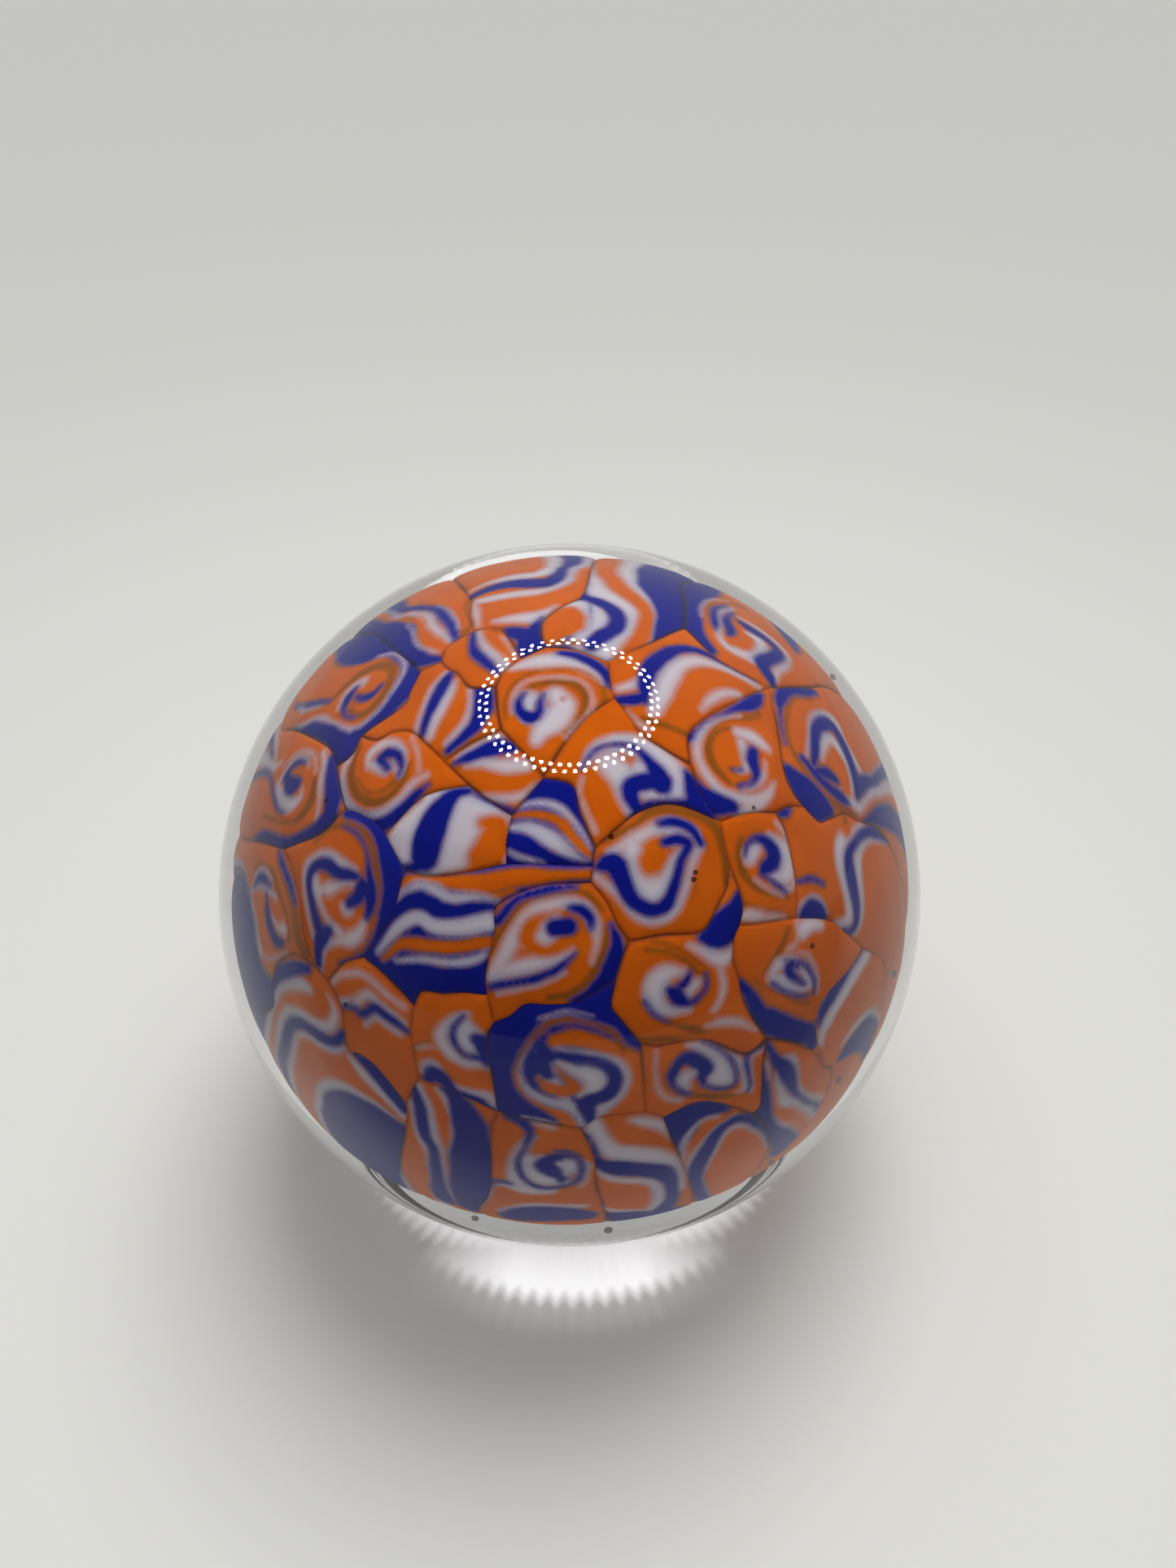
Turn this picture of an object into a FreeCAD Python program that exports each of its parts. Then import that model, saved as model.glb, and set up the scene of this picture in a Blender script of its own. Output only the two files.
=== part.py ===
import FreeCAD, Part
import math
import os

# A clear glass ball paperweight with patterned glass slices inside it.
# Millimetres, +Z up. The origin is the centre of the flat base.
# Each piece is drawn about the centre of the ball and then lifted by its Placement.
os.makedirs("parts", exist_ok=True)

doc = FreeCAD.newDocument("Paperweight")
sheet = doc.addObject("Spreadsheet::Sheet", "Sheet")

SIZES = [
    ("ball_radius", 40.0),         # outside of the clear casing
    ("centre_height", 35.0),       # centre of the ball above the flat base
    ("base_flat_radius", 18.6),    # ground flat that the ball stands on
    ("base_edge_slope", 4.0),      # run to rise of the eased edge round the flat
    ("slice_outer", 25.6),         # outside of the slices
    ("slice_inner", 21.6),         # inside of the slices, which is the outside of the core
    ("rim_arc", 62.0),             # from the crown down to the lowest end of the slices
    ("neck_base_radius", 13.0),    # neck of the core where it meets the flat base
    ("neck_top_radius", 10.0),     # neck of the core at its upper end, inside the core
    ("neck_height", 20.0),         # length of the neck
]
for row, (alias, value) in enumerate(SIZES, start=1):
    sheet.set("A%d" % row, alias)
    sheet.set("B%d" % row, str(value))
    sheet.setAlias("B%d" % row, alias)
doc.recompute()


def size(alias):
    return float(sheet.get(alias))


# Corners of the slices, laid out flat as a map of the ball from above.
# Each is (right, back) of the crown in mm, measured as arc length on slice_outer.
CORNERS = {
    # behind the crown
    1: (2.2, 20.3), 2: (1.9, 16.6), 3: (1.2, 12.3), 4: (-0.4, 10.2), 5: (-2.2, 7.6),
    6: (-2.3, 5.4), 7: (-1.9, 3.6), 8: (0.6, 3.1), 9: (3.4, 1.7), 10: (3.6, -0.9),
    11: (3.9, -2.7), 12: (1.7, -4.8), 13: (-0.5, -7.8), 14: (-2.3, -10.7), 15: (-4.1, -8.1),
    16: (-5.9, -5.6), 17: (-6.2, -3.2), 18: (-6.3, -0.7), 19: (-5.6, 0.9), 20: (-4.1, 2.3),
    21: (-5.0, 5.0), 22: (-6.2, 7.6), 23: (-8.3, 7.9), 24: (-8.7, 11.2), 25: (-8.7, 14.5),
    26: (-9.7, 20.0), 27: (-11.5, 36.5), 28: (-4.5, 41.0), 29: (3.2, 38.5), 30: (8.5, 41.5),
    31: (14.5, 38.0), 32: (10.9, 22.2), 33: (10.7, 15.0), 34: (10.4, 9.2), 35: (8.2, 6.4),
    36: (6.9, 4.9), 37: (5.3, 3.4), 38: (12.9, 6.2), 39: (15.3, 5.3), 40: (18.8, 5.3),
    41: (21.5, 8.2), 42: (24.0, 11.6), 43: (25.5, 14.7), 44: (28.8, 21.5), 45: (32.0, 31.0),
    46: (23.0, 38.5),
    # right of the crown
    47: (16.4, 2.3), 48: (14.0, -0.7), 49: (12.2, -2.7), 50: (10.5, -5.3), 51: (10.7, -8.2),
    52: (8.3, -7.3), 53: (6.2, -6.1), 54: (5.1, -4.3), 55: (11.8, -10.8), 56: (13.9, -12.7),
    57: (4.2, -15.1), 58: (6.3, -13.4), 59: (9.3, -12.3), 60: (0.2, -11.5), 61: (0.9, -14.0),
    62: (2.2, -16.9), 63: (2.0, -18.4), 64: (1.8, -19.8),
    # left of the crown
    65: (-2.0, -18.2), 66: (-5.9, -17.8), 67: (-5.8, -16.0), 68: (-5.2, -13.8),
    69: (-8.9, -10.4), 70: (-11.1, -7.5), 71: (-8.5, -6.3), 72: (-7.0, -12.3),
    73: (-8.5, -0.2), 74: (-9.7, 2.1), 75: (-10.5, 3.0), 76: (-11.3, 4.5), 77: (-13.2, 4.2),
    78: (-14.2, 2.0), 79: (-15.0, 0.4), 80: (-17.2, 0.0), 81: (-19.4, -0.4), 82: (-17.8, -2.0),
    83: (-15.8, -2.2), 84: (-14.0, -3.2), 85: (-12.5, -5.4), 86: (-9.6, 7.3), 87: (-10.9, 6.2),
    88: (-22.5, 33.0), 89: (-17.0, 38.0), 90: (-20.5, 22.5), 91: (-18.0, 16.2),
    92: (-17.2, 13.5), 93: (-16.4, 11.0), 94: (-14.8, 7.5),
    # right side
    95: (19.2, 2.0), 96: (19.9, -1.5), 97: (20.3, -4.2), 98: (21.6, -6.3), 99: (23.0, -7.0),
    100: (21.2, -8.1), 101: (19.7, -9.5), 102: (16.6, -10.9), 103: (44.0, 24.0),
    104: (54.0, 11.0), 105: (49.0, 7.5), 106: (40.0, 3.4), 107: (37.1, 2.5), 108: (34.2, 0.5),
    109: (31.1, -2.2), 110: (28.6, -3.7), 111: (26.4, -6.2), 112: (25.2, -7.3),
    113: (44.6, -8.6), 114: (39.5, -12.1), 115: (36.5, -13.6), 116: (32.3, -14.9),
    117: (28.8, -15.7), 118: (24.1, -17.9), 119: (23.2, -15.2), 120: (22.3, -13.3),
    121: (20.9, -10.6), 122: (22.0, -19.0), 123: (19.5, -20.2), 124: (17.1, -21.1),
    125: (17.2, -19.6), 126: (16.6, -18.3), 127: (15.2, -16.4), 128: (14.4, -14.4),
    # front, from the middle to the right
    129: (15.1, -18.3), 130: (14.2, -20.5), 131: (12.9, -22.7), 132: (9.0, -23.6),
    133: (5.6, -24.5), 134: (4.4, -23.2), 135: (3.3, -21.4), 136: (16.7, -22.4),
    137: (17.0, -24.3), 138: (18.1, -25.8), 139: (19.2, -27.4), 140: (21.2, -28.7),
    141: (24.2, -29.9), 142: (21.7, -32.2), 143: (16.0, -32.1), 144: (12.8, -32.7),
    145: (9.5, -33.5), 146: (7.7, -33.4), 147: (5.2, -31.3), 148: (4.1, -30.1),
    149: (4.5, -27.8), 150: (5.0, -26.0), 151: (0.5, -29.8), 152: (-2.5, -30.0),
    153: (-5.0, -29.8), 154: (-6.8, -30.7), 155: (-8.7, -31.1), 156: (-8.9, -29.8),
    157: (-9.0, -28.6), 158: (-9.0, -27.3), 159: (-8.3, -25.2), 160: (-7.5, -23.4),
    161: (-7.2, -21.4), 162: (-4.5, -20.3), 163: (-2.0, -19.9),
    # front left
    164: (-15.9, -16.1), 165: (-13.5, -17.3), 166: (-10.0, -17.9), 167: (-11.5, -28.0),
    168: (-14.0, -27.6), 169: (-16.3, -26.9), 170: (-17.7, -27.9), 171: (-19.0, -26.0),
    172: (-20.9, -23.6), 173: (-22.6, -21.7), 174: (-20.2, -20.7), 175: (-18.0, -19.5),
    176: (-12.3, -10.1), 177: (-14.2, -10.5), 178: (-17.5, -12.2), 179: (-16.9, -13.7),
    180: (-18.2, -10.8), 181: (-20.5, -8.4), 182: (-21.8, -7.4), 183: (-22.2, -4.5),
    184: (-22.4, -2.0), 185: (-20.5, -1.9),
    # left side
    186: (-28.5, 33.5), 187: (-33.5, 28.5), 188: (-30.5, 21.8), 189: (-30.3, 15.5),
    190: (-28.3, 10.8), 191: (-27.0, 7.9), 192: (-25.0, 4.2), 193: (-23.0, 0.6),
    194: (-35.2, 19.0), 195: (-40.8, 16.4), 196: (-38.5, 7.0), 197: (-35.0, 0.5),
    198: (-31.1, -4.9), 199: (-28.8, -6.3), 200: (-26.0, -7.6), 201: (-24.0, -7.9),
    202: (-30.2, -8.0), 203: (-30.0, -12.0), 204: (-30.6, -15.5), 205: (-30.2, -19.0),
    206: (-28.7, -21.3), 207: (-25.5, -21.0), 208: (-45.5, 15.0), 209: (-42.0, 8.0),
    210: (-39.4, 1.3), 211: (-39.5, -5.3), 212: (-40.9, -9.8), 213: (-39.9, -13.4),
    214: (-37.0, -13.8), 215: (-34.0, -15.2), 216: (-32.0, -16.8), 217: (-42.6, -14.6),
    218: (-49.0, -8.2), 219: (-53.4, -4.6), 220: (-36.6, -42.9), 221: (-28.3, -40.3),
    222: (-25.3, -38.4), 223: (-23.9, -36.8), 224: (-25.0, -34.0), 225: (-26.3, -31.5),
    226: (-28.0, -29.6), 227: (-29.8, -28.4), 228: (-28.6, -25.8), 229: (-28.0, -23.9),
    # low down, from the left round to the right
    230: (-18.6, -29.2), 231: (-19.5, -31.5), 232: (-20.1, -34.7), 233: (-22.0, -35.7),
    234: (-9.8, -32.5), 235: (-10.0, -36.0), 236: (-10.2, -40.2), 237: (-13.5, -38.4),
    238: (-16.8, -36.6), 239: (-11.8, -42.0), 240: (-13.4, -46.0), 241: (-15.7, -50.3),
    242: (-19.1, -53.2), 243: (-24.4, -54.9), 244: (8.3, -36.0), 245: (9.6, -40.5),
    246: (6.5, -41.0), 247: (3.6, -41.4), 248: (0.9, -42.9), 249: (-2.7, -42.2),
    250: (-8.0, -41.0), 251: (25.2, -32.4), 252: (27.0, -34.8), 253: (28.4, -36.6),
    254: (27.5, -37.8), 255: (23.0, -38.0), 256: (19.0, -38.2), 257: (16.0, -38.9),
    258: (12.3, -41.0), 259: (2.1, -45.0), 260: (3.3, -48.0), 261: (3.8, -51.5),
    262: (6.0, -56.0), 263: (14.6, -43.5), 264: (18.0, -46.3), 265: (24.8, -50.5),
    266: (32.0, -37.9), 267: (37.4, -38.7), 268: (41.7, -40.0), 269: (27.7, -29.0),
    270: (30.7, -28.3), 271: (34.4, -27.5), 272: (38.2, -27.0), 273: (43.1, -25.5),
    274: (35.2, -16.8), 275: (34.1, -18.8), 276: (32.3, -21.6), 277: (31.5, -24.3),
    278: (33.5, -26.2),
}

# Corners on the lower rim: degrees clockwise from the back, seen from above.
RIM = {
    301: 355, 302: 10, 303: 27, 304: 49, 305: 74, 306: 97, 307: 120, 308: 132, 309: 148,
    310: 172, 311: 204, 312: 221, 313: 248, 314: 264, 315: 288, 316: 311, 317: 325, 318: 340,
}

# Each slice and the corners round it. Neighbours share corners, so they share whole faces.
SLICES = {
    "slice_01_blue_wave": [29, 1, 2, 3, 4, 5, 6, 7, 20, 21, 22, 23, 24, 25, 26, 27, 28],
    "slice_02_orange_bulb": [29, 30, 31, 32, 33, 34, 35, 36, 37, 9, 8, 7, 6, 5, 4, 3, 2, 1],
    "slice_03_long_spiral": [31, 46, 45, 44, 43, 42, 41, 40, 39, 38, 34, 33, 32],
    "slice_04_narrow_fan": [76, 87, 86, 23, 24, 25, 26, 27, 89, 88, 90, 91, 92, 93, 94, 77],
    "slice_05_ring_and_lobe": [
        91, 90, 88, 186, 187, 188, 189, 190, 191, 192, 193, 184, 185, 81, 80, 79, 78, 77,
        94, 93, 92],
    "slice_06_blue_ribbon": [
        70, 71, 16, 17, 18, 73, 74, 75, 76, 77, 78, 79, 80, 81, 82, 83, 84, 85],
    "slice_07_small_stripes": [76, 75, 74, 73, 18, 19, 20, 21, 22, 23, 86, 87],
    "slice_08_crown_swirl": [7, 8, 9, 10, 11, 12, 13, 14, 15, 16, 17, 18, 19, 20],
    "slice_09_left_comma": [
        81, 82, 83, 84, 85, 70, 69, 176, 177, 178, 180, 181, 182, 183, 184, 185],
    "slice_10_tall_lobe": [
        184, 193, 192, 191, 190, 189, 188, 194, 195, 196, 197, 198, 199, 200, 201, 182, 183],
    "slice_11_left_back": [208, 315, 316, 187, 188, 194, 195],
    "slice_12_thin_corner": [14, 68, 72, 69, 70, 71, 16, 15],
    "slice_13_blue_arc": [
        9, 37, 36, 35, 34, 38, 39, 40, 47, 48, 49, 50, 51, 52, 53, 54, 11, 10],
    "slice_14_right_comma": [
        40, 95, 96, 97, 98, 99, 100, 101, 102, 56, 55, 51, 50, 49, 48, 47],
    "slice_15_white_ring": [11, 54, 53, 52, 51, 55, 56, 59, 58, 57, 62, 61, 60, 14, 13, 12],
    "slice_16_blue_arch": [
        40, 41, 42, 43, 44, 45, 103, 104, 105, 106, 107, 108, 109, 110, 111, 112, 99, 98,
        97, 96, 95],
    "slice_17_blue_s": [69, 176, 177, 178, 179, 164, 165, 166, 66, 67, 68, 72],
    "slice_18_small_arc": [68, 14, 60, 61, 62, 63, 65, 66, 67],
    "slice_19_front_hook": [
        62, 57, 58, 59, 56, 128, 127, 129, 130, 131, 132, 133, 134, 135, 64, 63],
    "slice_20_right_swirl": [
        56, 102, 101, 121, 120, 119, 118, 122, 123, 124, 125, 126, 127, 128],
    "slice_21_zigzag": [
        106, 105, 104, 305, 306, 113, 114, 115, 116, 117, 118, 119, 120, 121, 101, 100, 99,
        112, 111, 110, 109, 108, 107],
    "slice_22_low_wave": [
        164, 165, 166, 66, 65, 63, 64, 163, 162, 161, 160, 159, 158, 157, 167, 168, 169,
        170, 171, 172, 173, 174, 175],
    "slice_23_teardrop": [
        64, 135, 134, 133, 150, 149, 151, 152, 153, 154, 155, 156, 157, 158, 159, 160, 161,
        162, 163],
    "slice_24_left_hook": [
        178, 180, 181, 182, 201, 200, 199, 198, 202, 203, 204, 205, 206, 207, 173, 174, 175,
        164, 179],
    "slice_25_narrow_swirl": [
        198, 197, 196, 195, 208, 209, 210, 211, 212, 213, 214, 215, 216, 205, 204, 203, 202],
    "slice_26_plain_blue": [208, 209, 210, 211, 212, 213, 217, 218, 219, 314, 315],
    "slice_27_big_left": [
        213, 217, 218, 219, 314, 313, 312, 220, 221, 222, 223, 224, 225, 226, 227, 228, 229,
        206, 205, 216, 215, 214],
    "slice_28_short_bands": [
        206, 207, 173, 172, 171, 170, 230, 231, 232, 233, 223, 224, 225, 226, 227, 228, 229],
    "slice_29_dark_spiral": [
        133, 132, 131, 130, 129, 127, 126, 125, 124, 136, 137, 138, 139, 140, 141, 142, 143,
        144, 145, 146, 147, 148, 149, 150],
    "slice_30_orange_blob": [
        124, 123, 122, 118, 117, 116, 115, 274, 275, 276, 277, 278, 272, 271, 270, 269, 141,
        140, 139, 138, 137, 136],
    "slice_31_right_bands": [115, 114, 113, 306, 307, 273, 272, 278, 277, 276, 275, 274],
    "slice_32_right_stripes": [
        141, 269, 270, 271, 272, 273, 307, 308, 268, 267, 266, 254, 253, 252, 251],
    "slice_33_ring_swirl": [
        170, 169, 168, 167, 157, 156, 155, 234, 235, 236, 237, 238, 232, 231, 230],
    "slice_34_left_bands": [
        232, 238, 237, 236, 239, 240, 241, 242, 243, 311, 312, 220, 221, 222, 223, 233],
    "slice_35_front_spiral": [
        155, 154, 153, 152, 151, 149, 148, 147, 146, 244, 245, 246, 247, 248, 249, 250, 236,
        235, 234],
    "slice_36_twin_comma": [
        146, 145, 144, 143, 142, 141, 251, 252, 253, 254, 255, 256, 257, 258, 245, 244],
    "slice_37_front_comma": [
        236, 250, 249, 248, 259, 260, 261, 262, 310, 311, 243, 242, 241, 240, 239],
    "slice_38_front_bands": [
        248, 247, 246, 245, 258, 263, 264, 265, 309, 310, 262, 261, 260, 259],
    "slice_39_orange_oval": [
        258, 257, 256, 255, 254, 266, 267, 268, 308, 309, 265, 264, 263],
    "slice_40_back": [187, 316, 317, 186],
    "slice_41_back": [186, 317, 318, 89, 88],
    "slice_42_back": [89, 318, 301, 28, 27],
    "slice_43_back": [28, 301, 302, 30, 29],
    "slice_44_back": [30, 302, 303, 46, 31],
    "slice_45_back": [46, 303, 304, 103, 45],
    "slice_46_back": [103, 304, 305, 104],
}

ORIGIN = FreeCAD.Vector(0, 0, 0)
UP = FreeCAD.Vector(0, 0, 1)
REACH = 1.3  # how far a wedge's flat end stands outside the slices, as a ratio


def direction(polar, turn):
    """A unit vector: polar angle from +Z, turn clockwise from +Y seen from above."""
    across = math.sin(polar)
    return FreeCAD.Vector(across * math.sin(turn), across * math.cos(turn), math.cos(polar))


def corner_direction(number):
    """Which way a corner lies from the centre of the ball."""
    if number in RIM:
        return direction(size("rim_arc") / size("slice_outer"), math.radians(RIM[number]))
    right, back = CORNERS[number]
    return direction(math.hypot(right, back) / size("slice_outer"), math.atan2(right, back))


def middle_direction(directions):
    total = FreeCAD.Vector(0, 0, 0)
    for one in directions:
        total = total + one
    return total.normalize()


def wedge_shape(directions):
    """A solid pyramid with its point at the centre of the ball and a flat far end."""
    axis = middle_direction(directions)
    reach = REACH * size("slice_outer")
    ends = [one * (reach / one.dot(axis)) for one in directions]
    faces = [Part.Face(Part.makePolygon(ends + [ends[0]]))]
    for index, end in enumerate(ends):
        following = ends[(index + 1) % len(ends)]
        faces.append(Part.Face(Part.makePolygon([ORIGIN, end, following, ORIGIN])))
    solid = Part.Solid(Part.makeShell(faces))
    if solid.Volume < 0:
        solid.reverse()
    return solid


def add_wedge(name, directions):
    # An irregular pyramid has no primitive of its own, so its shape is made here.
    wedge = doc.addObject("Part::Feature", name)
    wedge.Shape = wedge_shape(directions)
    wedge.Placement = FreeCAD.Placement(ORIGIN, FreeCAD.Rotation())
    return wedge


def add_sphere(name, radius_alias, facing=None):
    """A sphere about the ball's centre. Its seam line is turned away from facing."""
    ball = doc.addObject("Part::Sphere", name)
    ball.setExpression("Radius", "Sheet." + radius_alias)
    if facing is not None:
        turned = FreeCAD.Rotation(FreeCAD.Vector(-1, 0, 0), facing)
        ball.Placement = FreeCAD.Placement(ORIGIN, turned)
    return ball


def add_boolean(kind, name, base, tool):
    result = doc.addObject(kind, name)
    result.Base = base
    result.Tool = tool
    return result


def name_part(feature, label):
    """Give a finished piece its name and lift it so that the base is at z = 0."""
    feature.Label = label
    feature.Placement = FreeCAD.Placement(ORIGIN, FreeCAD.Rotation())
    feature.setExpression(".Placement.Base.z", "Sheet.centre_height")
    return feature


finished = []

# The slices: each is its own wedge of the layer between slice_inner and slice_outer.
for label, numbers in SLICES.items():
    around = [corner_direction(number) for number in numbers]
    facing = middle_direction(around)
    wedge = add_wedge("Wedge_" + label, around)
    outer = add_sphere("Outer_" + label, "slice_outer", facing)
    inner = add_sphere("Inner_" + label, "slice_inner", facing)
    full = add_boolean("Part::Common", "Full_" + label, outer, wedge)
    finished.append(name_part(add_boolean("Part::Cut", "Piece_" + label, full, inner), label))


def add_neck(name):
    """The neck of the core, from the flat base up into the core."""
    neck = doc.addObject("Part::Cone", name)
    neck.setExpression("Radius1", "Sheet.neck_base_radius")
    neck.setExpression("Radius2", "Sheet.neck_top_radius")
    neck.setExpression("Height", "Sheet.neck_height")
    neck.setExpression(".Placement.Base.z", "-Sheet.centre_height")
    return neck


def add_core(name):
    round_part = add_sphere(name + "_Round", "slice_inner")
    return add_boolean("Part::Fuse", name, round_part, add_neck(name + "_Neck"))


# The clear core and its neck.
finished.append(name_part(add_core("Core"), "clear_core"))

# The clear casing: the ball, ground flat with an eased edge, less the slices and the core.
ball = add_sphere("Ball", "ball_radius")
grind = doc.addObject("Part::Cone", "Grind")
grind.setExpression("Radius1", "Sheet.base_flat_radius")
grind.setExpression("Height", "Sheet.centre_height + Sheet.ball_radius")
grind.setExpression(
    "Radius2",
    "Sheet.base_flat_radius + Sheet.base_edge_slope * (Sheet.centre_height + Sheet.ball_radius)")
grind.setExpression(".Placement.Base.z", "-Sheet.centre_height")
ground_ball = add_boolean("Part::Common", "Ground_Ball", ball, grind)
rim_wedge = add_wedge("Rim_Wedge", [corner_direction(number) for number in RIM])
layer_ball = add_sphere("Layer_Ball", "slice_outer")
layer = add_boolean("Part::Cut", "Layer", layer_ball, rim_wedge)
without_layer = add_boolean("Part::Cut", "Without_Layer", ground_ball, layer)
casing = add_boolean("Part::Cut", "Casing", without_layer, add_core("Core_Space"))
finished.append(name_part(casing, "clear_casing"))

doc.recompute()

for item in doc.Objects:
    if "Invalid" in item.State or "Error" in item.State:
        raise RuntimeError("%s did not build: %s" % (item.Name, item.State))
for item in finished:
    shape = item.Shape
    if shape.isNull() or not shape.isValid() or len(shape.Solids) != 1:
        raise RuntimeError("%s is not one valid solid" % item.Label)

for item in finished:
    item.Shape.exportStep("parts/%s.step" % item.Label)
    print("%-26s %10.1f mm3" % (item.Label, item.Shape.Volume))
print("%d pieces, %.1f mm3" % (len(finished), sum(item.Shape.Volume for item in finished)))
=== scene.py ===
import math

import bmesh
import bpy
import numpy as np
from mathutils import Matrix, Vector, noise
from mathutils.geometry import delaunay_2d_cdt


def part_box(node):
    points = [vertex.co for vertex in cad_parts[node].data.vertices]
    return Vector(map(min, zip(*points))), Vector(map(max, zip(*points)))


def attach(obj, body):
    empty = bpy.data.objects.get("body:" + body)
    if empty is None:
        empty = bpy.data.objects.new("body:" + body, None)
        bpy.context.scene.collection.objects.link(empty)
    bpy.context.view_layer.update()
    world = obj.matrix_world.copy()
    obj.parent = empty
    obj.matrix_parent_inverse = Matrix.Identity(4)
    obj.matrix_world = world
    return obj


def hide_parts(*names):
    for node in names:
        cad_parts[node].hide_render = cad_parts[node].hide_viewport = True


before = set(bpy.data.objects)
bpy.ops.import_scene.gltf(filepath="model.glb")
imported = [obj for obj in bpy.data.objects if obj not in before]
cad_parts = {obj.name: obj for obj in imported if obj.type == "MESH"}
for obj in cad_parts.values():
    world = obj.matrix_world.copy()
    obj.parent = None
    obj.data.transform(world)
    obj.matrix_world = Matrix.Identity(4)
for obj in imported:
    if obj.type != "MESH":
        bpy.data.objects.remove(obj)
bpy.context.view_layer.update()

MM = 0.001

# Sizes in millimetres. The height of the ball's middle is worked out from the frame. The others
# repeat the part's own sizes.
_, CASING_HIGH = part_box("clear_casing")
BALL_RADIUS = 40.0
CENTRE_HEIGHT = CASING_HIGH.z / MM - BALL_RADIUS
CENTRE = np.array([0.0, 0.0, CENTRE_HEIGHT])
SLICE_OUTER = 25.6
SLICE_INNER = 21.6
BASE_FLAT_RADIUS = 18.6
BASE_EDGE_SLOPE = 4.0       # run to rise of the eased edge round the flat

# How each slice swells between its seams, in millimetres.
SEAM_DEPTH = 0.10
SWELL = 0.20
SWELL_REACH = 2.6           # from a seam to where the swell is full

# How finely things are drawn, in millimetres unless it says otherwise.
MESH_STEP = 0.36            # outside of a slice
INSIDE_STEP = 1.1           # inside of a slice
OUTLINE_STEP = 0.5
STROKE_STEP = 0.45
GLASS_SIDES = 256           # a count
GLASS_RINGS = 150           # a count
EDGE_STEP = 0.001           # in the search for where the ball meets its eased edge

# How a slice's corners are told from its CAD mesh.
ON_SURFACE = 0.02           # mm off SLICE_OUTER
FACING_OUT = 0.9            # cosine between a face and the way out
REAL_BEND = 0.01            # sine of the turn at a corner
SAME_CORNER = 1.2e-3        # between directions, where the ball's radius is 1

# Distance fields are kept to this many millimetres either way.
FAR = 9.0

# The drawn colours are shifted about by this many millimetres, in waves of this many per radius.
WANDER = 0.22
WANDER_WAVES = 7.0

# A guessed slice's swirl: the colour, start in radians and half width in millimetres of each arm.
SWIRL_ARMS = (("white", 0.0, 1.3), ("blue", 0.4, 0.9), ("white", 3.0, 1.0), ("blue", 3.4, 0.7))
SWIRL_SPOTS = 7
SWIRL_FIRST = 1.0           # mm from the middle to the arm's first spot
SWIRL_GROWTH = 1.5          # mm further out at each spot
SWIRL_TURN = 0.7            # radians further round at each spot

# Bubbles: right and back of the crown on the map below, and how far across.
BUBBLES = [
    (-25.0, -55.0, 0.6), (42.7, -25.5, 0.7), (40.5, -39.4, 0.6), (26.3, 18.2, 0.6),
    (11.3, -17.9, 0.45), (11.2, -18.5, 0.5), (26.0, -19.6, 0.5), (-25.9, -24.7, 0.4),
    (-16.7, 11.4, 0.4), (-13.4, 4.6, 0.4), (44.6, -8.6, 0.6), (16.6, -10.6, 0.35),
    (8.7, -61.0, 0.7), (-23.1, -5.8, 0.4), (3.5, -16.0, 0.5)]
BUBBLE_LIFT = 0.9           # mm over the slices

# The ring lamp: from the middle of the ball, in millimetres.
LAMP_HEIGHT = 5 * BALL_RADIUS
LAMP_BACK = 0.76 * BALL_RADIUS
LAMP_RADIUS = 1.96 * BALL_RADIUS
LAMP_RING_OFFSET = 3.4      # of each ring of dots from LAMP_RADIUS
LAMP_DOTS = 54              # in each ring
LAMP_DOT_RADIUS = 1.95

# The camera: its distance from the middle of the ball in millimetres, at 45 degrees up.
CAMERA_DISTANCE = 138.93
CAMERA_DOWN = 39.963        # degrees that it looks down
CAMERA_RIGHT = 1.164        # degrees that it looks to the right
CAMERA_LENS = 26.68         # mm on a sensor 36 mm across


# ---------------------------------------------------------------------------------------
# The map of the ball: (right, back) of the crown in mm of arc on the slices' outside.
# ---------------------------------------------------------------------------------------

def map_to_direction(spots):
    spots = np.asarray(spots, float)
    polar = np.hypot(spots[..., 0], spots[..., 1]) / SLICE_OUTER
    turn = np.arctan2(spots[..., 0], spots[..., 1])
    across = np.sin(polar)
    return np.stack([across * np.sin(turn), across * np.cos(turn), np.cos(polar)], -1)


def unit(vectors):
    vectors = np.asarray(vectors, float)
    return vectors / np.linalg.norm(vectors, axis=-1, keepdims=True)


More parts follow.
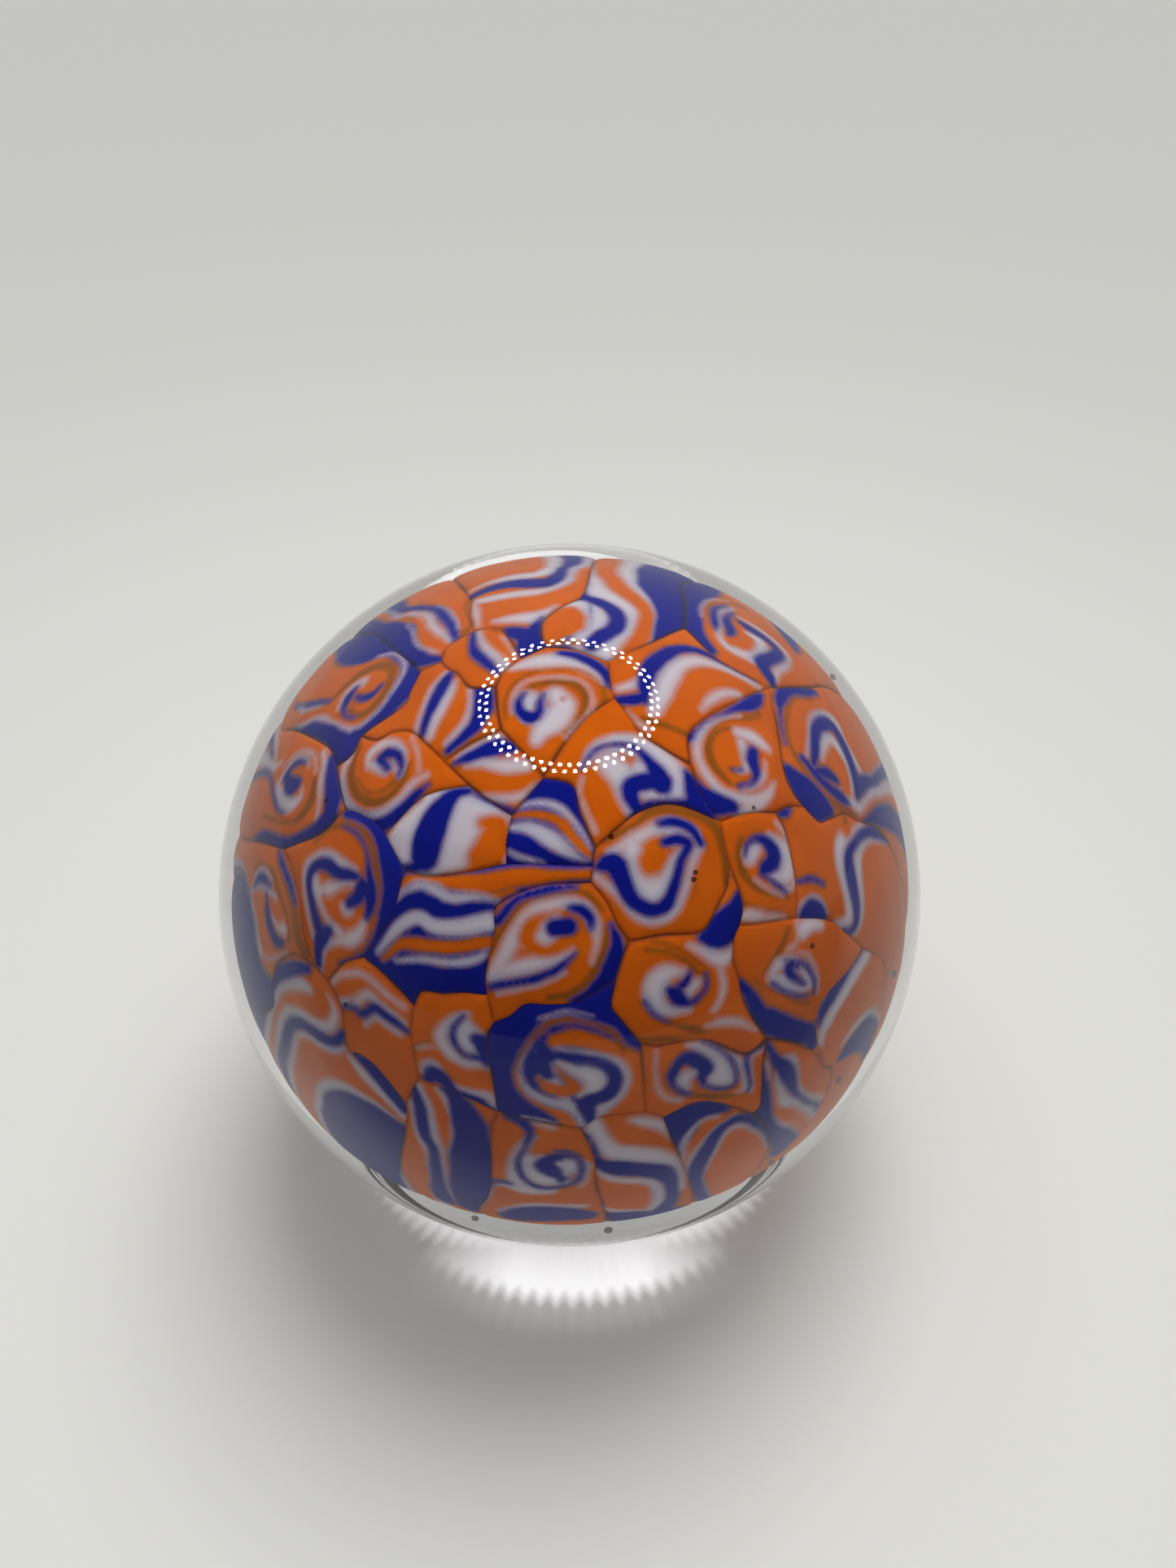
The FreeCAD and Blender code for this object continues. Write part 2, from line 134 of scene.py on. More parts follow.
# The drawn pattern of each slice: the colour of its ground, then its strokes in the order laid.
# A stroke is its colour and the spots of its middle line: (right, back, half width), in mm.
PATTERNS = {
    "slice_01_blue_wave": ("orange", [
        ("white", (-9, 16.9, 0.2), (-7, 17.8, 0.5), (-4.6, 18.2, 0.9), (-2.6, 18.2, 1), (-1.5, 19.6, 0.9),
         (-1, 22, 0.8), (-1.2, 38, 1.5)),
        ("blue", (-8.9, 15.2, 0.5), (-7, 15.9, 0.75), (-5, 16.2, 1), (-3, 15.5, 1.2), (-1.6, 15.5, 1.1),
         (-0.8, 17.2, 0.7), (-0.2, 19.6, 0.55), (0.5, 22, 0.7), (1, 38, 1.5)),
        ("white", (-8.4, 14, 0.2), (-7.4, 13.4, 0.7), (-5, 13.2, 0.8), (-2.8, 13.1, 0.8),
         (-1.2, 13.6, 0.75), (-0.2, 15.2, 0.55), (0.3, 17.2, 0.45), (0.7, 19.6, 0.45), (1.8, 23, 0.5),
         (2.6, 38, 0.8)),
        ("white", (-8.2, 13.5, 0.3), (-8.1, 11, 0.45), (-7.9, 8.6, 0.35)),
        ("orange", (-6.6, 11.2, 1.1), (-5, 10.7, 1.4), (-3, 10.9, 1.2), (-1.4, 11.9, 0.95), (0, 13.5, 0.6),
         (0.9, 15.6, 0.4), (1.3, 17.6, 0.5), (1.9, 19.6, 0.45)),
        ("orange", (-6.8, 10.5, 0.9), (-7, 8.4, 0.7)),
        ("white", (-6.4, 8.6, 0.3), (-4.8, 8.3, 0.7), (-3.2, 8.2, 0.9), (-1.9, 9, 0.5), (-0.9, 10.2, 0.2)),
        ("blue", (-5.4, 6.9, 0.3), (-4.4, 6, 0.8), (-3.4, 5.2, 1.1), (-3.2, 3.6, 1.3)),
        ("blue", (-2.1, 8.2, 0.1), (-2.7, 7, 0.4), (-3, 6, 0.8)),
    ]),
    "slice_02_orange_bulb": ("blue", [
        ("white", (3, 38, 5), (3.5, 24, 2.8), (3.6, 20, 2.5), (3.8, 16, 2.4), (4.6, 12, 2.8),
         (4.8, 8, 2.8), (3.8, 4.5, 2.7), (1.5, 4, 1.5)),
        ("white", (0.5, 10, 1.5), (0, 7, 2.2)),
        ("orange", (0.1, 9.4, 0.5), (-0.1, 8.2, 1.5), (-0.4, 6.9, 1.9), (-1.2, 5.6, 1.3), (-1.6, 4.4, 0.8)),
        ("brown", (-1.2, 4.1, 0.3), (0.3, 3.9, 0.4), (1.3, 3.8, 0.3)),
        ("blue", (1.5, 15.8, 0.15), (1.3, 13.6, 0.3), (1.5, 12, 0.5), (2.6, 11, 0.65), (3.8, 9.7, 0.7),
         (4.3, 8, 0.75), (3.9, 6.3, 0.75), (2.9, 5, 0.8), (2, 3.6, 0.7)),
        ("brown", (1.8, 17, 0.15), (1.5, 15.4, 0.2)),
        ("orange", (3.6, 36, 1.5), (3.6, 20.2, 0.85), (3.9, 17, 0.85), (4.7, 14.4, 0.95), (6.1, 12, 0.85),
         (6.8, 10, 0.7), (6.8, 7.6, 0.75), (6.2, 5.4, 0.8), (5.2, 3.5, 0.7), (4.2, 1.6, 0.5)),
    ]),
    "slice_03_long_spiral": ("orange", [
        ("blue", (10.6, 28, 3.2), (10.4, 22, 3.2), (10.2, 18, 2.3), (10, 14, 2), (10.3, 11, 1.8),
         (11.4, 8.6, 1), (12.8, 6.9, 0.5)),
        ("blue", (17.6, 44, 1.4), (19.4, 34, 1.3), (20.6, 26, 1.2), (21.4, 21.5, 1.1), (22, 19, 0.7),
         (22.2, 17.8, 0.3)),
        ("white", (15, 20.6, 0.1), (13.2, 18.2, 0.15), (12.3, 15.6, 0.15), (12, 12.6, 0.12)),
        ("blue", (14.9, 18.6, 0.12), (13.7, 16, 0.3), (13.3, 13.5, 0.35), (13.25, 11.6, 0.35),
         (13.3, 10.7, 0.15)),
        ("white", (15.5, 18.8, 0.2), (14.5, 16.6, 0.3), (14, 14.6, 0.2), (13.8, 12.4, 0.1),
         (13.6, 10.4, 0.3), (13.9, 9, 0.45), (15, 8.1, 0.6), (16.8, 7.9, 0.45)),
        ("blue", (15.5, 17.4, 0.1), (14.8, 15.2, 0.3), (14.6, 13.4, 0.5), (14.7, 11.9, 0.55),
         (14.5, 10.7, 0.2)),
        ("white", (16.8, 13.2, 0.5), (17.8, 13, 0.9), (18, 11.6, 0.7), (17.4, 10, 0.55), (16.5, 8.7, 0.7),
         (15, 8.3, 0.5)),
        ("white", (16, 16.7, 0.25), (18, 16.5, 0.45), (20, 15.6, 0.5), (21.1, 14, 0.35), (20.9, 12, 0.35),
         (20.1, 10, 0.45), (19.5, 8.4, 0.45), (19.6, 7, 0.2)),
        ("blue", (16, 15.4, 0.3), (16.8, 15, 0.8), (18.4, 14.8, 0.75), (19.6, 14, 0.6), (20, 12.9, 0.62),
         (19.2, 11, 0.65), (18.3, 9.4, 0.7), (17.9, 8, 0.75), (18.6, 7, 0.7), (19, 6.1, 0.4)),
        ("orange", (15.4, 15.6, 0.2), (15.5, 13.5, 0.35), (15.9, 12, 0.45), (16.4, 11.1, 0.7),
         (16, 10, 0.8), (15, 9.7, 0.6), (14.4, 10.2, 0.2)),
        ("brown", (16.6, 21.6, 0.3), (14.6, 19.6, 0.2), (13, 16.6, 0.12), (12.6, 13, 0.1)),
    ]),
    "slice_04_narrow_fan": ("orange", [
        ("blue", (-21, 33, 2.5), (-19.5, 24, 2), (-17.6, 18, 1.4), (-16.2, 14.5, 1.7), (-15.2, 11.5, 1.4),
         (-14.6, 9, 0.9), (-13.9, 7, 1), (-12.8, 5.6, 0.8), (-11.4, 5, 0.4)),
        ("white", (-14.6, 14, 0.1), (-14, 11.8, 0.2), (-13.8, 9.6, 0.2), (-13.1, 7.8, 0.2),
         (-11.6, 6.1, 0.15)),
        ("orange", (-18.5, 30, 0.8), (-17, 20, 0.5), (-15.2, 16.3, 0.45), (-13.8, 13.8, 0.4),
         (-13.2, 11.8, 0.4), (-13, 10, 0.4), (-12.3, 8.4, 0.45), (-11.4, 7, 0.5), (-10.6, 6.2, 0.4)),
        ("white", (-17.6, 30, 0.6), (-15.9, 18.4, 0.3), (-14.5, 16.7, 0.3), (-13.2, 14.8, 0.35),
         (-12.4, 13, 0.45), (-12, 11, 0.45), (-11.4, 9.2, 0.42), (-10.5, 7.4, 0.25)),
        ("blue", (-16.6, 28, 0.8), (-15.4, 20, 0.5), (-14, 17.6, 0.4), (-12.8, 15.9, 0.35),
         (-11.8, 14.3, 0.4), (-11, 12.3, 0.5), (-10.5, 10.3, 0.42), (-10.2, 8.6, 0.35), (-9.9, 7.1, 0.2)),
        ("white", (-11.9, 15.4, 0.1), (-10.6, 13, 0.15), (-10, 10.6, 0.15), (-9.85, 8.8, 0.12)),
        ("brown", (-8.9, 15.5, 0.15), (-8.9, 12, 0.15), (-8.7, 8.8, 0.2), (-9.4, 7.7, 0.3)),
    ]),
    "slice_05_ring_and_lobe": ("orange", [
        ("blue", (-21.5, 33, 1.5), (-21.4, 22, 1.2), (-20.2, 17, 2), (-18.6, 13.6, 2.2), (-17, 11.4, 1.4)),
        ("blue", (-16.2, 10.5, 1), (-14.8, 8, 0.9), (-13.9, 5.5, 1.1), (-14.6, 2.6, 1.2),
         (-16.6, 0.9, 0.9), (-19, 0.2, 0.6), (-21.4, -0.8, 1.4)),
        ("white", (-17.6, 10.3, 0.2), (-16, 9.3, 0.3), (-15, 7.6, 0.3), (-14.7, 6, 0.3), (-15, 4.2, 0.3),
         (-15.9, 2.6, 0.25), (-17.4, 1.3, 0.25), (-19.2, 0.8, 0.25), (-20.2, 1.2, 0.2)),
        ("orange", (-18.8, 5, 3)),
        ("brown", (-22.4, 8.2, 0.3), (-20.4, 8.8, 0.5), (-18.2, 8.7, 0.55), (-16.5, 7.5, 0.5),
         (-15.9, 5.9, 0.4), (-16.2, 4.1, 0.45), (-17.2, 2.7, 0.5), (-18.8, 2.1, 0.45), (-20, 2.8, 0.4),
         (-20.4, 4, 0.3)),
        ("white", (-21.8, 5.6, 0.2), (-21, 7.2, 0.3), (-19.6, 7.5, 0.45), (-18.7, 7.2, 0.4),
         (-18.9, 6.6, 0.3)),
        ("blue", (-19.7, 6.9, 0.25), (-20.4, 6.4, 0.5), (-21, 5.4, 0.4), (-21.2, 4.4, 0.25),
         (-20.7, 3.2, 0.2), (-19.8, 2.4, 0.12)),
        ("blue", (-19.6, 5.4, 0.3), (-19.1, 4.6, 0.35), (-18, 4.1, 0.4), (-16.9, 4.7, 0.25)),
        ("orange", (-18.2, 6.2, 0.6), (-17.4, 6.2, 0.5)),
        ("blue", (-27.8, 17.5, 0.1), (-27.4, 14.6, 0.22), (-26.2, 12.5, 0.3), (-25, 10.9, 0.3),
         (-23.8, 9.2, 0.25), (-22.9, 8, 0.12)),
        ("white", (-27.4, 14, 0.15), (-26.7, 12.2, 0.25), (-25.3, 10.3, 0.2), (-24, 8.7, 0.12)),
        ("white", (-28.2, 10.9, 0.15), (-26.7, 9, 0.3), (-24.9, 7, 0.45), (-23.7, 5.9, 0.35),
         (-22.8, 4.2, 0.3), (-21.6, 2.5, 0.3), (-20.2, 1, 0.25)),
        ("blue", (-28.4, 10.9, 0.1), (-27.1, 8.6, 0.25), (-25.6, 6.6, 0.6), (-24.5, 4.9, 0.7),
         (-23.3, 3, 0.85), (-22.3, 1.3, 1), (-21.3, -0.3, 1.2), (-20.8, -1.6, 0.9)),
    ]),
    "slice_06_blue_ribbon": ("orange", [
        ("white", (-10.7, 2.7, 0.15), (-12, 1, 0.25), (-12.8, -0.8, 0.25), (-13.4, -2.6, 0.25),
         (-13.7, -3.4, 0.2)),
        ("blue", (-10.2, 2.4, 0.25), (-10.9, 1, 0.6), (-11.7, -0.6, 0.6), (-12.3, -2, 0.5),
         (-12.9, -3.8, 0.3)),
        ("white", (-9.9, 1, 0.25), (-10.3, -0.3, 0.5), (-11, -1.8, 0.6), (-11.7, -3.2, 0.55),
         (-12.2, -4.6, 0.45)),
        ("orange", (-9.2, 1.6, 0.4), (-9.2, -0.4, 0.55), (-9.6, -2.4, 0.8), (-10.5, -4.2, 0.75),
         (-11.3, -6, 0.45)),
        ("white", (-8.5, -0.2, 0.2), (-8.4, -2.4, 0.3), (-9.1, -4.4, 0.35), (-10.7, -5.9, 0.25)),
        ("blue", (-7.3, -0.7, 0.8), (-7.2, -2.8, 0.95), (-7.9, -4.6, 0.7), (-9.2, -5.7, 0.45),
         (-10.7, -6.7, 0.3)),
    ]),
    "slice_07_small_stripes": ("orange", [
        ("blue", (-8.5, 7.8, 0.2), (-8.3, 5.8, 0.35), (-8, 4, 0.45), (-7.2, 2.4, 0.45), (-6.2, 1.1, 0.35)),
        ("white", (-7.9, 7.8, 0.25), (-7.5, 5.8, 0.35), (-6.8, 3.8, 0.5), (-5.8, 2.1, 0.5), (-5, 1, 0.4)),
        ("brown", (-6.5, 7.4, 0.25), (-6.1, 7, 0.25)),
        ("white", (-5.6, 5.8, 0.12), (-5, 4, 0.15), (-4.5, 2.6, 0.15)),
    ]),
    "slice_08_crown_swirl": ("orange", [
        ("white", (-4.6, 1.2, 0.5), (-2.4, 1.6, 1), (0, 1.4, 0.9), (1.8, 0.3, 0.7), (2.8, -1, 0.4)),
        ("blue", (-0.8, 2.6, 0.3), (0.8, 2.1, 0.5), (2.2, 1.1, 0.55), (3.1, 0, 0.5), (3.4, -1.4, 0.3)),
        ("brown", (-5.3, -4.6, 0.15), (-5.3, -2.6, 0.15), (-4.5, -0.9, 0.15), (-2.8, 0.3, 0.15),
         (-0.8, 0.4, 0.15), (1.3, 0, 0.15), (2.7, -1.6, 0.2), (2.9, -3.4, 0.25), (1.6, -5.2, 0.25),
         (0, -7.4, 0.25), (-1.4, -9.4, 0.2)),
        ("white", (-4.7, -4.2, 0.12), (-4.6, -2.4, 0.15), (-3.9, -1.1, 0.15), (-2.4, -0.6, 0.15),
         (-0.6, -0.6, 0.15), (1, -1.2, 0.15), (1.9, -2.6, 0.15), (1.9, -4, 0.15), (1.1, -5.4, 0.15),
         (-0.2, -7, 0.15)),
        ("brown", (-3.2, -1.6, 0.25), (-1.7, -1.1, 0.35), (0, -1.3, 0.4), (1.1, -2.3, 0.4),
         (1.4, -3.6, 0.35), (0.9, -5, 0.3), (-0.2, -6.6, 0.2)),
        ("white", (-1.2, -2.6, 0.9), (-0.5, -3.8, 1.1), (-1.2, -5.2, 1.4), (-2.2, -6.4, 1),
         (-2.7, -7.3, 0.7)),
        ("white", (-3.4, -3, 1.1), (-3, -4.4, 1.3)),
        ("blue", (-3.7, -2.2, 0.15), (-4.2, -3, 0.3), (-4.1, -4.1, 0.4), (-3.3, -4.9, 0.65),
         (-2.6, -4.4, 0.4), (-2.5, -3.4, 0.3), (-2.2, -2.5, 0.15)),
        ("brown", (-0.6, -3.1, 0.22)),
    ]),
    "slice_09_left_comma": ("orange", [
        ("blue", (-22.2, -5, 0.5), (-21.6, -7.4, 0.6), (-20, -9.4, 0.7), (-18.2, -10.9, 0.9),
         (-16, -10.8, 0.6), (-14, -9.8, 0.4), (-12.6, -9.2, 0.15)),
        ("white", (-20.6, -2, 0.4), (-21.7, -3.8, 0.45), (-21.6, -5.8, 0.45), (-20.7, -7.9, 0.45),
         (-19.2, -9.4, 0.42), (-17.3, -10, 0.4), (-15.4, -9.4, 0.38), (-14, -8.5, 0.35),
         (-12.8, -8.4, 0.3)),
        ("white", (-14, -3.6, 0.1), (-13.5, -5.6, 0.12), (-13.5, -7.6, 0.15)),
        ("orange", (-17.4, -5.8, 3)),
        ("brown", (-19.4, -1.6, 0.3), (-20.5, -3.6, 0.42), (-20.5, -5.4, 0.42), (-19.7, -7.2, 0.4),
         (-18.4, -8.5, 0.4), (-16.8, -8.9, 0.4), (-15.3, -8.1, 0.35), (-14.4, -6.6, 0.25)),
        ("brown", (-19.7, -5.4, 0.1), (-18.9, -7.1, 0.15), (-17.4, -7.9, 0.2), (-16, -7.6, 0.3)),
        ("white", (-18.5, -4.6, 0.35), (-18.3, -3.5, 0.5), (-17.1, -3, 0.6), (-15.7, -3.5, 0.45),
         (-14.9, -4.8, 0.35), (-14.9, -6.2, 0.3), (-15.5, -7.2, 0.2)),
        ("white", (-18, -4.8, 0.5), (-17.2, -5.8, 0.4), (-16.8, -6.4, 0.2)),
        ("blue", (-17.3, -4.6, 0.3), (-16.4, -4.4, 0.5), (-15.5, -5, 0.42), (-15.2, -6.2, 0.35),
         (-15.5, -7.2, 0.2)),
        ("blue", (-17.1, -4.8, 0.35), (-16.6, -5.9, 0.35)),
        ("white", (-16.1, -5.7, 0.22), (-15.7, -6.6, 0.28)),
    ]),
    "slice_10_tall_lobe": ("orange", [
        ("white", (-33.9, 19, 0.7), (-33.3, 14.5, 0.7), (-32.3, 11, 0.6), (-31.2, 8, 0.45),
         (-29.8, 6.6, 0.2)),
        ("blue", (-32.2, 20.5, 0.3), (-31.9, 16, 0.32), (-31.7, 12, 0.2), (-31.3, 10, 0.1)),
        ("white", (-31.3, 21, 0.3), (-31.1, 16, 0.35), (-31, 12, 0.35), (-30.8, 9, 0.15)),
        ("blue", (-36.4, 18.6, 0.3), (-34.6, 13.6, 0.25), (-33, 10.2, 0.25), (-31.9, 7.6, 0.2),
         (-31.5, 5, 0.2), (-31.3, 2.6, 0.2), (-31, 0.6, 0.25), (-30, -1.1, 0.2)),
        ("blue", (-36, 1.6, 0.8), (-34.3, -0.3, 0.85), (-32.6, -2.6, 0.75), (-30.8, -4.7, 0.6),
         (-28.4, -6.2, 0.6), (-25.8, -7.1, 0.7), (-23.4, -7, 0.9)),
        ("blue", (-22.6, -0.4, 0.5), (-22.7, -2.6, 0.9), (-22.9, -5, 1.1), (-23.4, -7, 0.9)),
        ("white", (-24, 1, 0.35), (-23.7, -0.6, 0.4), (-24.3, -2.6, 0.4), (-24.7, -4.6, 0.3),
         (-25.3, -6, 0.2)),
        ("brown", (-33.8, 3.3, 0.15), (-32.2, 0.4, 0.2), (-30.4, -2.2, 0.2), (-28, -4, 0.3),
         (-25.9, -3.6, 0.6), (-25, -1.6, 0.4)),
        ("white", (-29.4, 5.4, 0.15), (-27.4, 4.7, 0.2), (-25.9, 3.2, 0.22), (-25, 1.2, 0.22),
         (-24.8, -0.6, 0.15)),
        ("white", (-30.6, 3.9, 0.4), (-30.4, 2, 0.6), (-29.9, 0.2, 0.75), (-28.8, -1.3, 0.75),
         (-27.4, -1.8, 0.5), (-26.8, -1, 0.25)),
        ("white", (-30.2, 3.9, 0.3), (-28.4, 4.1, 0.3), (-26.9, 3.5, 0.25), (-26, 2.2, 0.2),
         (-25.7, 0.8, 0.12)),
        ("blue", (-29.4, 3.3, 0.35), (-28.2, 3.4, 0.35), (-27, 2.8, 0.3), (-26.2, 1.9, 0.15)),
        ("blue", (-28.9, 2.9, 0.5), (-28.9, 1.6, 0.75), (-28.2, 0.7, 0.8), (-27.2, 0.3, 0.35)),
        ("orange", (-26.7, 1.6, 0.2), (-26.4, 0.2, 0.35), (-26.4, -1.2, 0.4)),
    ]),
    "slice_11_left_back": ("orange", [
        ("blue", (-57, 22, 2.2), (-50, 24, 2.8), (-43, 25.5, 2.4), (-37, 27, 1.2)),
        ("white", (-57, 18.6, 0.5), (-49, 19.6, 0.7), (-42, 21.4, 0.6), (-35, 24, 0.4)),
        ("blue", (-47, 16.4, 0.4), (-42, 18, 0.45), (-36, 20.6, 0.3)),
    ]),
    "slice_12_thin_corner": ("orange", [
        ("brown", (-10.9, -7.2, 0.3), (-9, -6.7, 0.35), (-6.6, -5.9, 0.4)),
        ("white", (-9.7, -7.6, 0.3), (-7.8, -6.9, 0.3), (-6, -6.4, 0.3)),
        ("blue", (-10, -8, 0.25), (-8.2, -7.8, 0.6), (-6.2, -7.4, 0.8), (-4.9, -7.6, 0.5)),
        ("white", (-9, -8.7, 0.15), (-7.4, -8.8, 0.5), (-5.6, -9.3, 0.75), (-3.9, -9.5, 0.7)),
        ("white", (-8, -11.5, 0.15), (-6, -12.2, 0.35), (-4.3, -12.3, 0.45), (-2.9, -11.3, 0.2)),
        ("blue", (-7, -12.5, 0.12), (-5.2, -13.6, 0.35)),
    ]),
    "slice_13_blue_arc": ("orange", [
        ("white", (3.9, -1.6, 0.3), (5, -1.2, 0.5), (6.2, -0.2, 0.4)),
        ("blue", (4.2, -2.8, 0.4), (5.4, -2.6, 0.6), (6.8, -2.2, 0.5)),
        ("blue", (6.8, -2.6, 0.5), (6.7, -0.4, 0.75), (7.3, 1.8, 0.9), (8.5, 3.9, 0.75), (10, 5.2, 0.55),
         (12, 5.8, 0.4), (14.6, 5.5, 0.35), (17, 5.2, 0.25)),
        ("white", (7.4, -3.6, 0.7), (8, -1.6, 0.9), (8.7, 0.6, 1), (9.7, 2.7, 0.9), (11.3, 4.1, 0.75),
         (13.2, 4.6, 0.55), (15.8, 4.4, 0.45), (17.6, 4.2, 0.3)),
        ("orange", (8.8, -4.6, 0.4), (9.6, -3, 0.75), (10.2, -1.2, 0.85), (11.2, 0.8, 1), (12.6, 2.5, 0.9),
         (14.2, 3, 0.7), (16.4, 2.6, 0.6)),
        ("white", (11.6, -2, 0.2), (12.6, -0.4, 0.45), (13.8, 0.9, 0.5), (15.2, 1.6, 0.4)),
        ("brown", (6.2, -4.6, 0.3), (8, -5, 0.35), (10.2, -5.3, 0.3)),
        ("white", (4.8, -3.9, 0.2), (5.6, -4.8, 0.25), (6.8, -5.7, 0.15)),
    ]),
    "slice_14_right_comma": ("orange", [
        ("blue", (17.8, 3.6, 0.2), (17, 2, 0.7), (16.2, 0.8, 0.7), (14.8, -0.4, 0.35), (13.6, -1.6, 0.25),
         (12.2, -3, 0.2), (11.2, -4.6, 0.3), (10.2, -5.6, 0.6)),
        ("brown", (17.3, 0.2, 0.3), (16.3, -0.9, 0.28), (14.8, -1.7, 0.2), (13.2, -2.8, 0.2),
         (12.2, -4.2, 0.25)),
        ("white", (15.2, -1.1, 0.12), (13.4, -2.2, 0.2), (12, -3.9, 0.3), (11.3, -5.8, 0.4),
         (11.4, -7.6, 0.45), (12.3, -9, 0.5), (13.8, -10, 0.5), (15.8, -9.9, 0.6), (17.4, -9.3, 0.7),
         (18.6, -8.2, 0.55), (19.3, -6.6, 0.15)),
        ("white", (18, -9.2, 0.6), (16.6, -10.5, 0.7), (15.3, -11.5, 0.25)),
        ("brown", (14.8, -2.9, 0.15), (13, -4, 0.3), (12.3, -6, 0.4), (13, -7.8, 0.4), (14.6, -8.9, 0.2)),
        ("orange", (14.4, -4.6, 0.8), (14.2, -6, 0.9)),
        ("white", (15.2, -3.2, 0.6), (16.8, -3, 0.75), (18.3, -3.3, 0.45)),
        ("white", (15.6, -4.2, 0.5), (15.9, -5.6, 0.45), (16, -6.8, 0.25), (15.2, -7.3, 0.12)),
        ("white", (18.1, -5, 0.15), (18, -6.4, 0.25), (17.3, -7.8, 0.25), (16, -8.9, 0.2)),
        ("blue", (16.8, -4.6, 0.5), (16.6, -5.5, 0.65), (17.1, -6.7, 0.4), (16.7, -7.9, 0.25),
         (15.4, -8.8, 0.15)),
        ("blue", (15.6, -7, 0.1), (14.7, -7.4, 0.15)),
        ("orange", (16.4, -7.2, 0.2), (15.5, -7.9, 0.22)),
        ("blue", (9.6, -8.4, 0.3), (10.4, -9.6, 0.6), (11.6, -11, 0.95), (13, -11.3, 1), (14.9, -11, 0.55)),
    ]),
    "slice_15_white_ring": ("orange", [
        ("white", (1.2, -9.6, 0.3), (2.6, -8, 0.8), (4.6, -7.4, 1.1), (6.8, -7.8, 1.2), (8.6, -9.4, 1.4),
         (9.3, -10.8, 1.2)),
        ("white", (3.4, -9.4, 1.1), (4.6, -10.6, 1.2), (5, -12.4, 0.9), (5.2, -13.6, 0.35)),
        ("white", (6.4, -10, 1.3), (7.5, -11.5, 1.2)),
        ("blue", (1, -9.9, 0.1), (2.2, -8.3, 0.16), (4, -7.6, 0.2), (5.6, -7.8, 0.3), (6.9, -8.9, 0.45),
         (7.7, -10, 0.8), (8.1, -10.8, 0.9)),
        ("blue", (8.2, -10.5, 0.8), (6.6, -10.8, 0.8), (5.4, -11.3, 0.8), (5.2, -12.2, 0.7),
         (5.9, -13.2, 0.5)),
        ("white", (6.4, -12.1, 0.3), (7.3, -12.2, 0.45), (8.6, -11.9, 0.3)),
        ("blue", (5.4, -14.2, 0.3), (6.6, -13, 0.35), (8.6, -12.5, 0.4), (10.6, -12.1, 0.6),
         (12.6, -12.2, 0.8)),
        ("blue", (10.2, -9.2, 0.25), (11, -10.6, 0.8), (11.5, -11.8, 0.9)),
        ("white", (1.1, -10.8, 0.15), (0.8, -12, 0.2), (1.5, -14, 0.2), (2.2, -15.6, 0.2)),
    ]),
    "slice_16_blue_arch": ("orange", [
        ("blue", (24.3, 11, 0.4), (22.4, 8.5, 0.7), (20.6, 6.3, 0.65), (19.8, 4.4, 0.6), (19.7, 2.6, 0.25),
         (19.9, 0.5, 0.12), (20.4, -1.4, 0.12)),
        ("brown", (23.8, 8.7, 0.15), (22, 6.9, 0.2), (20.9, 4.6, 0.2), (20.4, 2, 0.2), (20.7, -0.6, 0.25),
         (21.9, -2.5, 0.3), (24, -3.6, 0.3), (27, -3.9, 0.25), (29.4, -2.6, 0.3), (31.4, -1, 0.15)),
        ("blue", (20.6, -4.2, 0.5), (22.6, -5.2, 1.35), (24.4, -5.6, 1.45), (26.4, -5, 0.5)),
        ("white", (22.8, -1, 0.2), (23, 1.5, 0.25), (23.2, 4, 0.25), (24.2, 6.4, 0.3), (25.6, 8.2, 0.4),
         (26.8, 8.6, 0.6), (27.8, 7, 0.5), (29.2, 5.8, 0.45), (30.6, 4.9, 0.5), (31.6, 4.8, 0.3),
         (32.5, 6.4, 0.3), (33.4, 9, 0.3), (34.4, 12.4, 0.35), (35.2, 16, 0.35), (35.9, 19, 0.4),
         (38.6, 28, 0.5), (42, 38, 0.5)),
        ("white", (29.2, -1.2, 0.5), (30.6, -0.6, 0.65), (31.8, 1.2, 0.45), (32.8, 3.8, 0.5),
         (34, 6.6, 0.6), (35.4, 9.8, 0.75), (36.8, 13.8, 0.9), (38, 17.6, 1), (42, 26, 1.1), (47, 35, 1.1)),
        ("blue", (23.7, -1.4, 0.35), (23.8, 0.6, 0.6), (23.9, 3, 0.65), (24.7, 5.2, 0.7), (26.1, 6.9, 0.7),
         (27.6, 5.9, 0.75), (29, 4.2, 0.75), (30, 2.4, 0.85), (30.3, 1, 0.6), (30.2, 0.3, 0.3)),
        ("blue", (30.2, 2, 0.9), (31.4, 4, 0.7), (32.6, 6, 0.5), (33.6, 8.6, 0.5), (34.6, 12, 0.5),
         (35.6, 16, 0.5), (36.4, 19, 0.6), (39.6, 28, 0.7), (43.4, 38, 0.7)),
        ("white", (24.8, 0.2, 0.3), (25.1, 2.6, 0.6), (25.9, 4.4, 0.7), (27, 4.2, 0.7), (28.4, 3, 0.35),
         (29.2, 1.2, 0.35), (29.2, -0.6, 0.4), (28.6, -1.8, 0.35), (27.6, -1.6, 0.2)),
        ("orange", (27.2, 2.2, 0.6), (26.9, 0.9, 0.6), (26, 0, 0.5), (25.3, -0.6, 0.25)),
        ("orange", (27.9, 1.8, 0.6), (28.4, 0.4, 0.6), (28.5, -0.8, 0.5), (27.6, -1.5, 0.25)),
        ("blue", (24.2, -2, 0.4), (25.6, -1.1, 0.65), (26.9, -0.9, 0.4)),
        ("blue", (22.3, -1.8, 0.35), (24.4, -2.6, 0.5), (26.2, -2.7, 0.55), (28, -2.2, 0.5),
         (29.2, -1.7, 0.12)),
